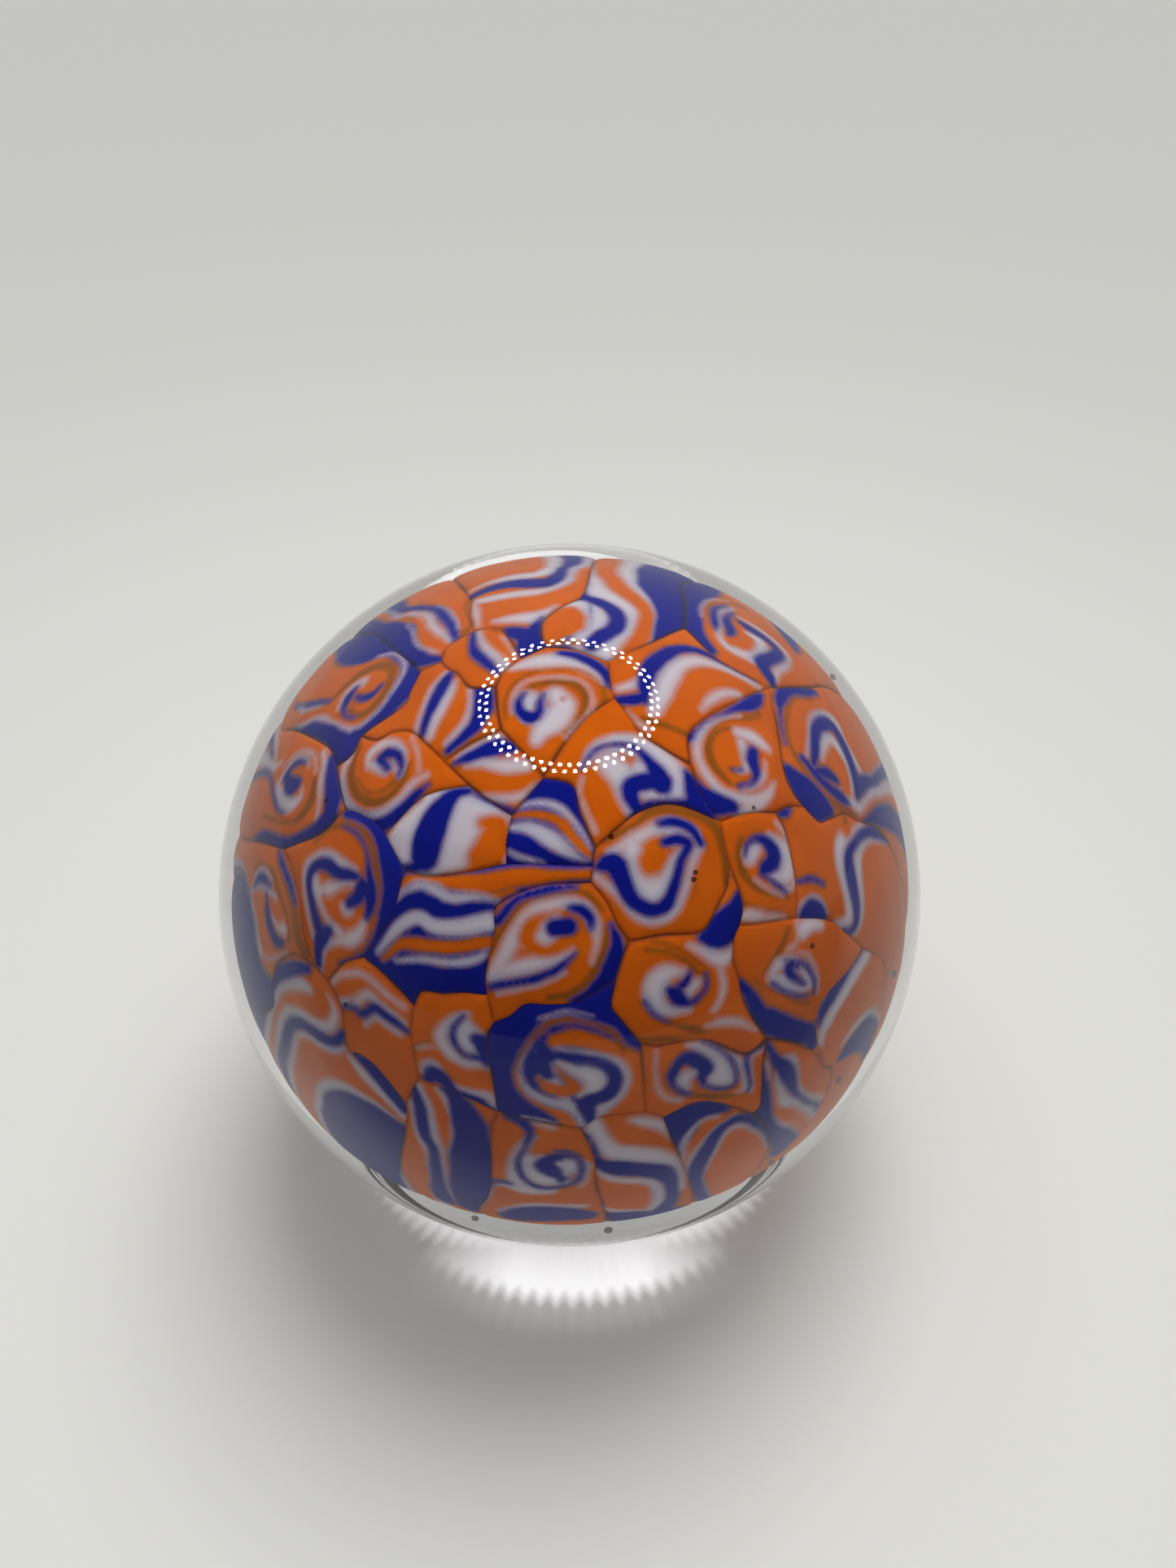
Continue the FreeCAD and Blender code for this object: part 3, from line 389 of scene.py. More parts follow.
        ("orange", (31.6, -0.7, 0.2), (32.6, 1.4, 0.35), (34.2, 4.2, 0.5), (35.6, 7, 0.55), (37, 10, 0.7),
         (38.8, 14, 0.8), (42, 19, 1), (48, 27, 1.2)),
        ("blue", (31.9, -1.3, 0.2), (33, 0.4, 0.4), (34.6, 2.8, 0.8), (36.4, 5.6, 1.1), (38.4, 8.6, 1.3),
         (41, 12, 1.4), (45, 15, 1.4), (52, 21, 1.6), (57, 25, 1.6)),
    ]),
    "slice_17_blue_s": ("white", [
        ("blue", (-8.6, -11, 0.25), (-10.2, -10.9, 0.6), (-11.8, -12.3, 1.2), (-12.9, -14.2, 1.4),
         (-13.4, -15.6, 1.3)),
        ("blue", (-16, -15.9, 0.3), (-14.5, -16.2, 0.45), (-12.6, -16.3, 0.4)),
        ("blue", (-8.6, -10.9, 0.3), (-7, -12.1, 0.25), (-5.6, -13.3, 0.2)),
        ("brown", (-17.6, -12.6, 0.25), (-15.6, -11.2, 0.25), (-13.4, -10.4, 0.2)),
        ("orange", (-7.6, -14.2, 0.5), (-6.5, -14.6, 0.9), (-6.9, -16, 1.3), (-7.7, -17.2, 1.5)),
        ("orange", (-11.8, -17.7, 0.15), (-9.8, -18.1, 0.4), (-8, -17.6, 0.8)),
    ]),
    "slice_18_small_arc": ("blue", [
        ("white", (-4.6, -13.1, 0.25), (-2.6, -13, 0.35), (-0.9, -13.5, 0.4), (0.5, -15, 0.35),
         (1.9, -16.9, 0.2)),
        ("orange", (-5.2, -13.9, 0.3), (-2.9, -14, 0.45), (-1, -14.6, 0.55), (0.2, -16, 0.6),
         (1.8, -17.6, 0.4)),
        ("white", (-5.4, -14.8, 0.3), (-3.6, -15.1, 0.6), (-1.6, -16.2, 0.8), (0.2, -17.4, 0.45),
         (1.4, -18, 0.15)),
        ("blue", (-5.6, -15.5, 0.35), (-4, -16.4, 0.55), (-2.2, -17.3, 0.45), (0, -17.95, 0.2),
         (1.9, -18.25, 0.15)),
        ("white", (-5.7, -16.8, 0.25), (-4.2, -17.6, 0.3), (-2.4, -18.1, 0.2)),
    ]),
    "slice_19_front_hook": ("orange", [
        ("brown", (3, -16.2, 0.25), (5.2, -15, 0.3), (7.4, -13.3, 0.35), (10, -12.7, 0.4),
         (13, -13.2, 0.5), (14.3, -15.5, 0.4), (14.8, -17.8, 0.3)),
        ("white", (3.6, -17.2, 0.35), (5.4, -16.1, 0.7), (7.2, -14.9, 0.6), (9.2, -14.3, 0.8),
         (11.2, -14.6, 0.6)),
        ("white", (5.4, -16.6, 0.9), (5.6, -18.2, 1), (6.4, -19.8, 1.1), (7.9, -19.9, 1.2),
         (9, -18.2, 0.9), (9.6, -16.6, 0.6)),
        ("white", (2.2, -19.2, 0.3), (4.2, -20.6, 0.35), (5.9, -22.1, 0.4), (7.8, -22.5, 0.4),
         (9.6, -21.7, 0.4), (10.6, -19.6, 0.4), (11.3, -17.2, 0.4), (11.8, -15.6, 0.4)),
        ("blue", (2.4, -18.5, 0.3), (3.8, -18.2, 0.9), (4.6, -19.3, 0.75), (5.6, -20.9, 0.65),
         (7.4, -21.6, 0.6), (8.9, -20.9, 0.6), (9.7, -19, 0.45), (10.2, -17.2, 0.4), (10.8, -15.8, 0.4)),
        ("blue", (7.9, -14.2, 0.3), (9.4, -13.85, 0.45), (10.9, -14.2, 0.45), (11.9, -15.2, 0.35)),
        ("blue", (8.5, -15.8, 0.4), (9.6, -15.4, 0.5), (10.7, -15.5, 0.45)),
        ("orange", (7, -16.8, 0.3), (6.9, -17.8, 0.8), (7.5, -18, 0.8), (8.6, -16.9, 0.45),
         (9.6, -16.1, 0.2)),
        ("orange", (6.7, -16.8, 0.3), (7.6, -15.7, 0.2), (8.4, -15.2, 0.12)),
    ]),
    "slice_20_right_swirl": ("orange", [
        ("white", (19.8, -10.5, 0.2), (21.2, -11.2, 0.35), (22.5, -12.4, 0.45), (23, -13.9, 0.45),
         (22.6, -15.3, 0.35), (21.6, -16, 0.25)),
        ("white", (19, -12.2, 0.3), (20.6, -12.7, 1), (21.7, -13.6, 1.2), (21.4, -14.9, 0.9),
         (20.2, -15.4, 0.7)),
        ("white", (17, -14.9, 0.8), (17.6, -13.9, 0.7)),
        ("blue", (16.5, -15, 0.12), (16.7, -13.8, 0.2), (17.6, -13, 0.35), (18.7, -12.9, 0.5),
         (19.6, -13.4, 0.7), (19.8, -14.4, 0.75), (19, -15.2, 0.6), (18.6, -15.8, 0.25)),
        ("blue", (18.8, -15.9, 0.15), (20.5, -16.2, 0.25), (21.8, -16.3, 0.15)),
        ("brown", (16, -13.4, 0.25), (15.8, -15, 0.35), (16.6, -16.5, 0.4), (18.2, -17.3, 0.35),
         (20.4, -17.3, 0.2), (22.2, -16.6, 0.15)),
        ("white", (17.8, -16.6, 0.1), (19.6, -17, 0.12), (21.4, -16.9, 0.12)),
        ("white", (16.8, -20.3, 0.4), (18.4, -19.9, 0.6), (20.4, -19.4, 0.35), (22.4, -18.6, 0.2)),
        ("brown", (16.6, -19, 0.15), (19, -19.2, 0.15), (21.4, -18.6, 0.15)),
    ]),
    "slice_21_zigzag": ("orange", [
        ("blue", (20.2, -9.4, 0.3), (20.7, -8.9, 0.45), (21.3, -8.2, 0.2)),
        ("white", (31.8, -1.9, 0.3), (30.4, -4.2, 0.3), (29.6, -5.9, 0.5), (28.6, -7, 0.9),
         (28.3, -8.6, 0.9), (29.2, -10.2, 0.75), (30.9, -11.6, 0.75), (31.9, -13, 0.7), (31.5, -14.4, 0.7),
         (29.8, -15.4, 0.25)),
        ("white", (36.6, 2, 0.4), (34.2, -1, 0.4), (32.6, -3.4, 0.4), (31.6, -5.4, 0.55), (31.4, -7, 0.75),
         (32, -8.5, 0.7), (33.1, -9.7, 0.5), (34, -11, 0.4), (34.3, -12.6, 0.3), (33.9, -14, 0.2)),
        ("blue", (37.4, 3.6, 0.8), (34.6, 0.4, 0.6), (32.8, -1.8, 0.5), (31.5, -3.8, 0.45),
         (30.6, -5.7, 0.4), (29.9, -7.4, 0.55), (30.2, -8.9, 0.8), (31.3, -10.2, 0.75), (32.8, -11.5, 0.6),
         (33.5, -12.8, 0.45), (33, -14.1, 0.35), (31.8, -15, 0.25)),
        ("orange", (28.9, -4.9, 1)),
        ("brown", (28.9, -4.2, 0.4), (28.6, -4.6, 0.2)),
        ("blue", (23.2, -14.6, 0.15), (24.8, -13.5, 0.28), (26.7, -13, 0.18)),
        ("white", (24.2, -17.6, 0.3), (24.6, -16.2, 0.4), (25.6, -15.2, 0.4), (26.8, -15.1, 0.3),
         (28, -15.5, 0.2)),
        ("blue", (24.6, -17.3, 0.4), (25.5, -16.3, 0.85), (26.8, -16, 0.75), (28, -15.9, 0.35)),
    ]),
    "slice_22_low_wave": ("blue", [
        ("orange", (-17.5, -17.2, 0.8), (-14.5, -17.2, 0.5), (-11.5, -18.2, 0.7), (-8.5, -19.1, 0.9),
         (-5, -19.1, 0.9), (-1.5, -19.1, 0.6), (2, -19.1, 0.5)),
        ("orange", (-9, -19.4, 0.4), (-7.2, -20.3, 0.4), (-5.5, -20.1, 0.4)),
        ("white", (-20, -19.6, 0.3), (-17.4, -18.2, 0.35), (-14.6, -17.8, 0.4), (-12.8, -18.6, 0.5),
         (-11.2, -19.6, 0.5), (-8.8, -20.1, 0.35), (-7.1, -20.8, 0.25)),
        ("blue", (-21, -21.2, 0.3), (-18.5, -19.7, 0.5), (-16, -18.8, 0.55), (-14.2, -19.1, 0.65),
         (-12.8, -20.4, 0.7), (-10.8, -20.9, 0.55), (-8.8, -20.9, 0.45), (-7.2, -21.2, 0.3)),
        ("white", (-20.5, -22, 0.3), (-17.6, -20.8, 0.6), (-15, -20.5, 0.7), (-13.2, -21.8, 0.8),
         (-10.5, -22.3, 0.9), (-7.8, -22.3, 0.9)),
        ("blue", (-16, -18.8, 0.5), (-14.2, -19.1, 0.6), (-12.8, -20.4, 0.65), (-10.8, -20.9, 0.5),
         (-8.8, -20.9, 0.4)),
        ("orange", (-20, -22.8, 0.3), (-17.5, -22.2, 0.6), (-14.5, -23.2, 0.65), (-11.5, -23.9, 0.65),
         (-8, -24.1, 0.7)),
        ("white", (-18.5, -23.4, 0.25), (-15.5, -24.1, 0.35), (-12.5, -25, 0.4), (-9.8, -25.4, 0.45),
         (-8.2, -25, 0.3)),
    ]),
    "slice_23_teardrop": ("orange", [
        ("blue", (-7.2, -22.4, 0.4), (-5.4, -21, 0.35), (-2.6, -20.2, 0.35), (0.4, -20.1, 0.3)),
        ("brown", (-7.9, -25, 0.3), (-6.2, -22.6, 0.25), (-4, -21.1, 0.2), (-1, -20.6, 0.2),
         (1.4, -20.7, 0.25), (2.8, -22, 0.3)),
        ("blue", (3.7, -23.2, 0.2), (4.4, -25, 0.6), (3.6, -27.2, 0.9), (2.2, -28.8, 0.9),
         (0.2, -29.7, 0.5)),
        ("brown", (3.1, -23.6, 0.3), (3.1, -25.4, 0.35), (2, -27.4, 0.35), (0, -28.9, 0.35),
         (-2.4, -29.3, 0.3)),
        ("white", (-8.3, -27.2, 0.5), (-6.8, -25.6, 0.7), (-5.6, -23.8, 0.7), (-3.8, -22, 0.6),
         (-1.4, -21.4, 0.55), (0.8, -21.6, 0.5), (2.1, -22.9, 0.5), (2.4, -24.6, 0.3), (2, -26.4, 0.15)),
        ("white", (-8.2, -27.2, 0.4), (-5.6, -26.6, 0.7), (-3, -26.2, 0.7), (-0.8, -25.8, 0.45),
         (0.3, -25.1, 0.2)),
        ("white", (-3.6, -24, 1.2), (-2.4, -23.6, 1)),
        ("orange", (-1.2, -22.4, 0.15), (-2.6, -22.4, 0.35), (-3.9, -23.1, 0.6), (-4.4, -24.4, 0.7),
         (-3.2, -25.2, 0.5), (-1.4, -25.1, 0.5), (0.2, -24.6, 0.45)),
        ("white", (-3.3, -24, 0.3), (-2.2, -22.9, 0.2), (-1.2, -22.5, 0.12)),
        ("orange", (0.3, -24.4, 0.5), (1.2, -25.4, 0.6), (0.6, -26.8, 0.5)),
        ("blue", (-1.7, -23.4, 0.72), (-0.2, -23.4, 0.72)),
        ("blue", (0, -21.9, 0.25), (1, -22.1, 0.45), (1.8, -22.8, 0.4), (1.9, -23.6, 0.2)),
        ("blue", (-8.6, -27.9, 0.3), (-6, -27.8, 0.3), (-3.4, -27.5, 0.35), (-1.2, -26.7, 0.3),
         (0.4, -25.6, 0.12)),
        ("white", (-7.8, -28.5, 0.15), (-5.6, -28.4, 0.15), (-3.2, -28.1, 0.15), (-0.8, -27.2, 0.12)),
    ]),
    "slice_24_left_hook": ("orange", [
        ("blue", (-21.6, -7.8, 0.4), (-19.6, -9, 0.9), (-18, -11.6, 1.1), (-17.2, -14.5, 1.3),
         (-17.6, -17.8, 1.3), (-19, -20.2, 1), (-21.6, -21.5, 0.7), (-24.2, -21.5, 0.4),
         (-25.8, -21, 0.25)),
        ("brown", (-26, -8.2, 0.2), (-23.6, -8.3, 0.3), (-21.6, -9, 0.35), (-20, -10.6, 0.35),
         (-18.9, -12.6, 0.35), (-18.7, -14.8, 0.35), (-19, -17, 0.35), (-20, -19, 0.3)),
        ("orange", (-19.7, -18.9, 0.3), (-21.4, -20.5, 0.3), (-23.4, -20.9, 0.35), (-25.6, -20, 0.5),
         (-27, -19, 0.4)),
        ("blue", (-22, -9, 0.1), (-20.5, -10.7, 0.15), (-19.7, -12.6, 0.15), (-19.6, -14.4, 0.3),
         (-19.9, -17, 0.6), (-20.8, -18.6, 0.3)),
        ("white", (-28.7, -16.6, 0.2), (-28.7, -13.6, 0.3), (-28.5, -11, 0.3), (-27.4, -9.7, 0.35),
         (-25.6, -9.9, 0.35), (-23.9, -11.1, 0.45), (-22.4, -12.7, 0.5), (-21.2, -13.9, 0.3)),
        ("white", (-26.6, -12, 0.6), (-26.4, -13.4, 0.7), (-25, -13.9, 0.7), (-23.2, -14.6, 0.5),
         (-21.8, -14.9, 0.3)),
        ("white", (-26.7, -13, 0.5), (-26.1, -15.4, 0.45), (-25.4, -17, 0.45), (-24.6, -18.4, 0.5)),
        ("white", (-29.6, -20.2, 0.25), (-28.4, -19.2, 0.35), (-27.2, -18.4, 0.35), (-25.2, -18.8, 0.45),
         (-23.6, -19.4, 0.75), (-22.4, -19.6, 0.7), (-21.3, -18.9, 0.35)),
        ("blue", (-29.2, -19.2, 0.5), (-28.4, -17.9, 0.6), (-27.3, -17.2, 0.85), (-26, -17.4, 0.45)),
        ("blue", (-27.5, -16.4, 0.6), (-27.7, -14, 0.45), (-27.7, -12, 0.45), (-27.1, -10.8, 0.5),
         (-25.8, -10.8, 0.5), (-24.5, -11.8, 0.6), (-23.3, -13.2, 0.55), (-22, -14, 0.5),
         (-21.1, -14.7, 0.35)),
        ("orange", (-25.9, -14.2, 0.25), (-25.2, -15.6, 0.65), (-24.2, -17, 0.6), (-23, -17.8, 0.4),
         (-21.9, -17.9, 0.2)),
        ("orange", (-25.2, -14.9, 0.4), (-23.8, -15.2, 0.4), (-22.4, -15.2, 0.3)),
        ("white", (-23.7, -16.1, 0.25), (-23.3, -17, 0.35), (-22.5, -17.3, 0.25)),
        ("blue", (-22.6, -16.4, 0.5), (-21.4, -16.4, 0.6), (-20.6, -15.4, 0.5), (-20.3, -17, 0.4)),
    ]),
    "slice_25_narrow_swirl": ("orange", [
        ("brown", (-31.9, -5, 0.3), (-31.2, -8, 0.5), (-30.9, -12, 0.5), (-31.6, -15, 0.6),
         (-31, -17.4, 0.5)),
        ("blue", (-31.8, -4.6, 0.2), (-31.3, -7, 0.35), (-30.8, -9.5, 0.35), (-30.7, -11.8, 0.2)),
        ("white", (-42.8, 12, 0.5), (-40.4, 5, 0.5), (-39.2, -1, 0.5), (-39.2, -5, 0.6),
         (-39.9, -9.4, 0.6)),
        ("blue", (-43.8, 12.6, 0.25), (-41, 5, 0.25), (-39.9, 0, 0.2)),
        ("brown", (-36.6, -1.4, 0.2), (-35, -3, 0.25), (-33.4, -5.6, 0.3), (-32.8, -8.4, 0.3),
         (-32.4, -11.6, 0.3), (-33.2, -13.8, 0.4)),
        ("white", (-38.2, -2.6, 0.3), (-37, -3.6, 0.35), (-35.7, -5.2, 0.35), (-34.5, -7, 0.35),
         (-33.5, -8.9, 0.2)),
        ("white", (-37.2, -2.2, 0.2), (-35.6, -3.1, 0.25), (-34.3, -4.8, 0.25), (-33.6, -6.8, 0.15)),
        ("blue", (-37.3, -3, 0.2), (-36, -3.7, 0.42), (-34.9, -5.2, 0.4), (-34, -6.9, 0.15)),
        ("blue", (-35.3, -6.8, 0.25), (-35.9, -8.6, 0.5), (-36, -10.6, 0.55), (-35.6, -12.3, 0.55),
         (-34.6, -13.2, 0.25)),
        ("white", (-35, -9.8, 0.2), (-34.6, -11.4, 0.35), (-33.6, -12.4, 0.6)),
        ("orange", (-34.2, -9.4, 0.3), (-33.3, -10.8, 0.45), (-32.8, -12, 0.3)),
        ("white", (-39.2, -10.8, 0.15), (-38.2, -12.3, 0.2), (-36.4, -13.6, 0.2), (-34.6, -14.6, 0.15)),
    ]),
    "slice_26_plain_blue": ("blue", [
        ("white", (-45, 14.6, 0.3), (-41.8, 7.6, 0.3), (-39.4, 1, 0.25), (-39.5, -5, 0.25),
         (-40.8, -9.8, 0.3), (-40, -13.2, 0.2)),
        ("orange", (-59, 12, 1.2), (-58.6, 4, 1.4), (-59, -4, 1.2)),
    ]),
    "slice_27_big_left": ("orange", [
        ("blue", (-53, -6, 0.6), (-47, -10.4, 0.7), (-42, -13.2, 0.8), (-38.6, -14.4, 0.8),
         (-35.6, -15.9, 0.75), (-33.2, -17.4, 0.6), (-31.2, -18.8, 0.4)),
        ("white", (-53.6, -8.2, 0.6), (-47, -12.6, 0.6), (-42, -14.9, 0.5), (-38.4, -16, 0.45),
         (-35.4, -17.6, 0.55), (-33.2, -19.2, 0.65), (-32, -20.4, 0.45)),
        ("white", (-54, -12, 0.5), (-48, -15.4, 0.5), (-43, -17.3, 0.55), (-39, -18.3, 0.55),
         (-36.6, -20, 0.55), (-34.6, -22.1, 0.55), (-32.6, -24.2, 0.6), (-30.6, -25.1, 0.65),
         (-29.2, -24.2, 0.4), (-29.4, -22.6, 0.2)),
        ("blue", (-54, -13.6, 0.6), (-48, -16.8, 0.6), (-42.6, -19.1, 0.6), (-39, -19.9, 0.55),
         (-36.6, -21.6, 0.55), (-34.5, -24, 0.6), (-32.7, -25.9, 0.65), (-31, -26.8, 0.5),
         (-29.4, -26.6, 0.3)),
        ("white", (-54.5, -16, 0.5), (-48, -18.9, 0.5), (-42.6, -20.8, 0.45), (-39, -21.4, 0.4),
         (-36.6, -23.2, 0.4), (-34.6, -25.4, 0.4), (-32.4, -27.2, 0.4), (-30.4, -27.9, 0.3)),
        ("white", (-50, -34, 4.2), (-40, -34.6, 4.6), (-35, -35.4, 4.7), (-31.4, -37.3, 3.2),
         (-28.9, -38.4, 1.6)),
        ("blue", (-50, -34.4, 3.4), (-40, -35.4, 4), (-35, -36.2, 4.2), (-31.2, -37.7, 3),
         (-28.8, -38.5, 1.4)),
        ("white", (-30, -29, 0.3), (-28.7, -31.4, 0.65), (-27.2, -33.8, 0.7), (-26, -36.2, 0.6),
         (-25.6, -37.8, 0.4)),
        ("blue", (-29.2, -28.6, 0.25), (-28.1, -30, 0.45), (-26.8, -31.8, 0.7), (-25.7, -33.8, 0.7),
         (-24.9, -36, 0.6), (-24.7, -37.4, 0.4)),
    ]),
    "slice_28_short_bands": ("orange", [
        ("white", (-28.4, -21.9, 0.25), (-26.6, -21.9, 0.3), (-24.8, -22.4, 0.35), (-23.2, -23, 0.3),
         (-21.9, -24.4, 0.3), (-20.6, -26, 0.3), (-19, -27.6, 0.3)),
        ("white", (-28.2, -23.8, 0.3), (-26.2, -24.6, 0.4), (-24.5, -25.1, 0.45), (-23.2, -25, 0.45),
         (-22.1, -26.3, 0.45), (-20.9, -27.6, 0.4), (-19.6, -29, 0.3)),
        ("blue", (-28.2, -24.3, 0.12), (-26.7, -24.9, 0.2), (-25.4, -25.6, 0.2)),
        ("blue", (-25.4, -26.1, 0.25), (-24, -26.6, 0.42), (-22.8, -26.5, 0.42), (-21.8, -27.5, 0.42),
         (-20.4, -28.8, 0.35), (-19.4, -30, 0.2)),
        ("white", (-24.8, -27.5, 0.2), (-23, -27.4, 0.3), (-21.8, -28.5, 0.3), (-20.4, -29.9, 0.25)),
        ("brown", (-26, -24.7, 0.15), (-25.6, -24.9, 0.15)),
    ]),
    "slice_29_dark_spiral": ("orange", [
        ("blue", (16.4, -18.6, 0.4), (16.2, -20, 1), (15.6, -21.4, 1.5), (14.6, -22.6, 1.2),
         (13.2, -23.1, 0.5)),
        ("white", (11.8, -24.1, 0.25), (13.8, -24.5, 0.6), (15.6, -24.5, 0.8), (16.4, -23.6, 0.4)),
        ("white", (15.2, -25.2, 0.3), (16.1, -26.4, 0.35), (16.2, -27.9, 0.35), (15.5, -29.2, 0.25)),
        ("brown", (7.4, -25, 0.25), (10.2, -25.1, 0.2), (12.4, -25.9, 0.2), (13.9, -27.1, 0.2)),
        ("brown", (8, -24.2, 0.15), (11, -24.6, 0.15), (13.4, -25.6, 0.12)),
        ("white", (11.2, -26.5, 0.4), (9.6, -26.8, 0.8), (8.4, -28, 1.1), (8.8, -29.4, 0.8),
         (10.4, -30, 0.5), (12.6, -29.6, 0.3)),
        ("white", (13, -27.2, 0.5), (12.2, -28, 0.5)),
        ("blue", (13.8, -26.2, 0.12), (14.2, -27.3, 0.2), (13.4, -28.5, 0.25), (12.2, -29, 0.35),
         (11, -28.6, 0.65), (10, -28.2, 0.35)),
        ("blue", (10.8, -28, 0.3), (11.7, -27.3, 0.35), (12.1, -26.4, 0.15)),
        ("blue", (7.4, -29.4, 0.12), (8.6, -30.4, 0.15), (10.4, -30.9, 0.15)),
        ("brown", (10, -30.9, 0.15), (12, -31.2, 0.25), (13.7, -31.4, 0.4), (15.1, -31.5, 0.15)),
        ("white", (15.2, -30.8, 0.2), (17, -30.1, 0.4), (19.4, -29.6, 0.35), (22.2, -29.6, 0.12)),
        ("brown", (7.6, -33, 0.25), (10, -32.8, 0.3), (12.6, -32.6, 0.2)),
    ]),
    "slice_30_orange_blob": ("orange", [
        ("white", (25, -18.6, 0.9), (26, -17.6, 0.8), (27.6, -16.9, 0.5)),
        ("white", (24.1, -18.4, 0.25), (24.4, -20, 0.2), (23.4, -21.2, 0.2)),
        ("brown", (23, -19.4, 0.25), (22.6, -21, 0.3), (22, -22.6, 0.3), (21, -24.2, 0.2)),
        ("white", (24.8, -20.8, 0.1), (26.8, -20.5, 0.15), (28.8, -21.1, 0.15), (29.8, -22.6, 0.1)),
        ("white", (21.7, -24.4, 0.4), (22.6, -23, 0.6), (24, -22.2, 0.7), (26, -21.9, 0.5),
         (27.8, -22.4, 0.7), (27.4, -23.2, 0.6), (26, -23.8, 0.6), (24, -24.2, 0.7), (22.4, -24.3, 0.6)),
        ("blue", (23.4, -22.3, 0.12), (25.2, -21.7, 0.2), (27.2, -21.5, 0.22), (28.7, -22, 0.2),
         (29.3, -23, 0.1)),
        ("blue", (25.6, -22.1, 0.15), (24.4, -22.3, 0.35), (24.1, -22.9, 0.5), (25, -23.2, 0.38),
         (26.4, -23.2, 0.28), (27.4, -23, 0.1)),
        ("blue", (22.2, -24.9, 0.15), (24.4, -25, 0.15), (26.8, -24.5, 0.15), (28.4, -23.7, 0.1)),
        ("brown", (19.8, -25.2, 0.15), (22, -25.7, 0.22), (25, -25.3, 0.25), (27.4, -24.9, 0.2),
         (29.2, -24, 0.12)),
        ("blue", (18.2, -26, 0.3), (19.8, -26.9, 0.6), (21.6, -28, 0.8), (24, -28.2, 1.2),
         (26.6, -27.9, 1.1), (29, -27.4, 1.1), (31.4, -26.8, 1), (33, -27.4, 0.6)),
        ("orange", (21.2, -25.9, 0.4), (24, -26, 0.55), (27, -25.9, 0.5), (29, -25.4, 0.4)),
    ]),
    "slice_31_right_bands": ("orange", [
        ("white", (31.4, -21, 0.2), (31.8, -22.6, 0.35), (31.9, -24, 0.3)),
        ("blue", (38, -8, 0.6), (36.6, -12, 0.5), (35.6, -15, 0.55), (34.7, -17.4, 0.6),
         (33.6, -19.6, 0.65), (32.9, -21.8, 0.7), (32.5, -23.6, 0.75), (32.8, -24.9, 0.4)),
        ("white", (39.6, -8, 0.6), (38, -12.4, 0.7), (36.6, -16, 0.75), (35.4, -19, 0.8),
         (34.5, -21.6, 0.85), (33.9, -23.8, 0.9), (34, -25.6, 0.6), (35, -26.4, 0.35)),
        ("white", (50, -10, 0.6), (46, -13.6, 0.6), (43.4, -16.4, 0.6), (41, -20, 0.5), (40, -23, 0.3)),
        ("blue", (51, -12, 1.4), (47, -15.4, 1.5), (44.4, -18.4, 1.6), (42.6, -21.4, 1.1),
         (41.6, -23.6, 0.4)),
    ]),
    "slice_32_right_stripes": ("orange", [
        ("white", (28, -30.7, 0.25), (30, -30.4, 0.5), (32, -31.3, 0.45), (34.6, -31.9, 0.35),
         (38, -31.2, 0.3), (44, -28, 0.3)),
        ("blue", (24.4, -30.3, 0.3), (26.4, -31.1, 0.4), (28.4, -31.6, 0.7), (30.4, -32.1, 0.85),
         (32.6, -32.5, 0.65), (35, -32.6, 0.4), (39, -31.6, 0.35), (45, -28.6, 0.35)),
        ("white", (27.8, -32.6, 0.2), (29.2, -33.6, 0.5), (31.2, -34.2, 0.8), (33.2, -34.1, 0.8),
         (35.4, -33.5, 0.6), (39, -32.4, 0.5), (46, -29.2, 0.5)),
        ("orange", (27.2, -32.6, 0.3), (28.6, -34.2, 0.3), (30.4, -35.4, 0.5), (32.6, -35.8, 0.6),
         (35.4, -35, 0.8), (39.6, -33.8, 0.8), (47, -30.6, 0.8)),
        ("white", (29, -35.4, 0.15), (31, -36.7, 0.25), (34, -36.8, 0.35), (38, -35.8, 0.4),
         (44, -33.8, 0.4)),
        ("white", (24.4, -32.9, 0.3), (25.6, -32.4, 0.35), (27, -33.4, 0.25)),
        ("blue", (25.2, -32.9, 0.35), (26.6, -34, 0.4), (28, -35.2, 0.45), (29.4, -36.5, 0.8),
         (32, -37.7, 0.8), (35, -37.9, 0.8), (39, -36.9, 1), (44, -35.4, 1.4)),
        ("blue", (29.6, -37, 0.6), (27.6, -37.4, 0.5), (26.4, -37.9, 0.15)),
    ]),
    "slice_33_ring_swirl": ("orange", [
        ("blue", (-15.6, -37.4, 0.6), (-13, -38.4, 0.7), (-11, -39.6, 0.7)),
        ("white", (-15.2, -36.3, 0.2), (-13, -37.4, 0.35), (-11, -38.2, 0.5), (-10.4, -39.4, 0.3)),
        ("orange", (-16.8, -32.6, 0.5), (-15.6, -34.6, 0.8), (-13.2, -36.2, 0.75), (-10.4, -36.8, 0.8)),
        ("white", (-11.2, -29.9, 0.25), (-13.2, -30.1, 0.4), (-15, -31.4, 0.7), (-14.4, -33, 0.7),
         (-12.6, -34.4, 0.55), (-10.3, -35, 0.4)),
        ("white", (-12, -31.2, 1.2), (-11.4, -32.6, 1.3)),
        ("blue", (-11.8, -30, 0.12), (-13.2, -30.9, 0.22), (-13.5, -32.2, 0.25), (-12.7, -33.6, 0.25),
         (-10.8, -34.3, 0.3)),
        ("blue", (-10.7, -32.4, 0.6), (-9.9, -33.2, 0.9), (-10, -34.6, 0.7)),
        ("orange", (-10.5, -30.5, 0.35), (-9.4, -30.9, 0.5)),
        ("white", (-19.3, -34.1, 0.1), (-18.4, -33.5, 0.3), (-17, -33.6, 0.3), (-16.3, -34.3, 0.12)),
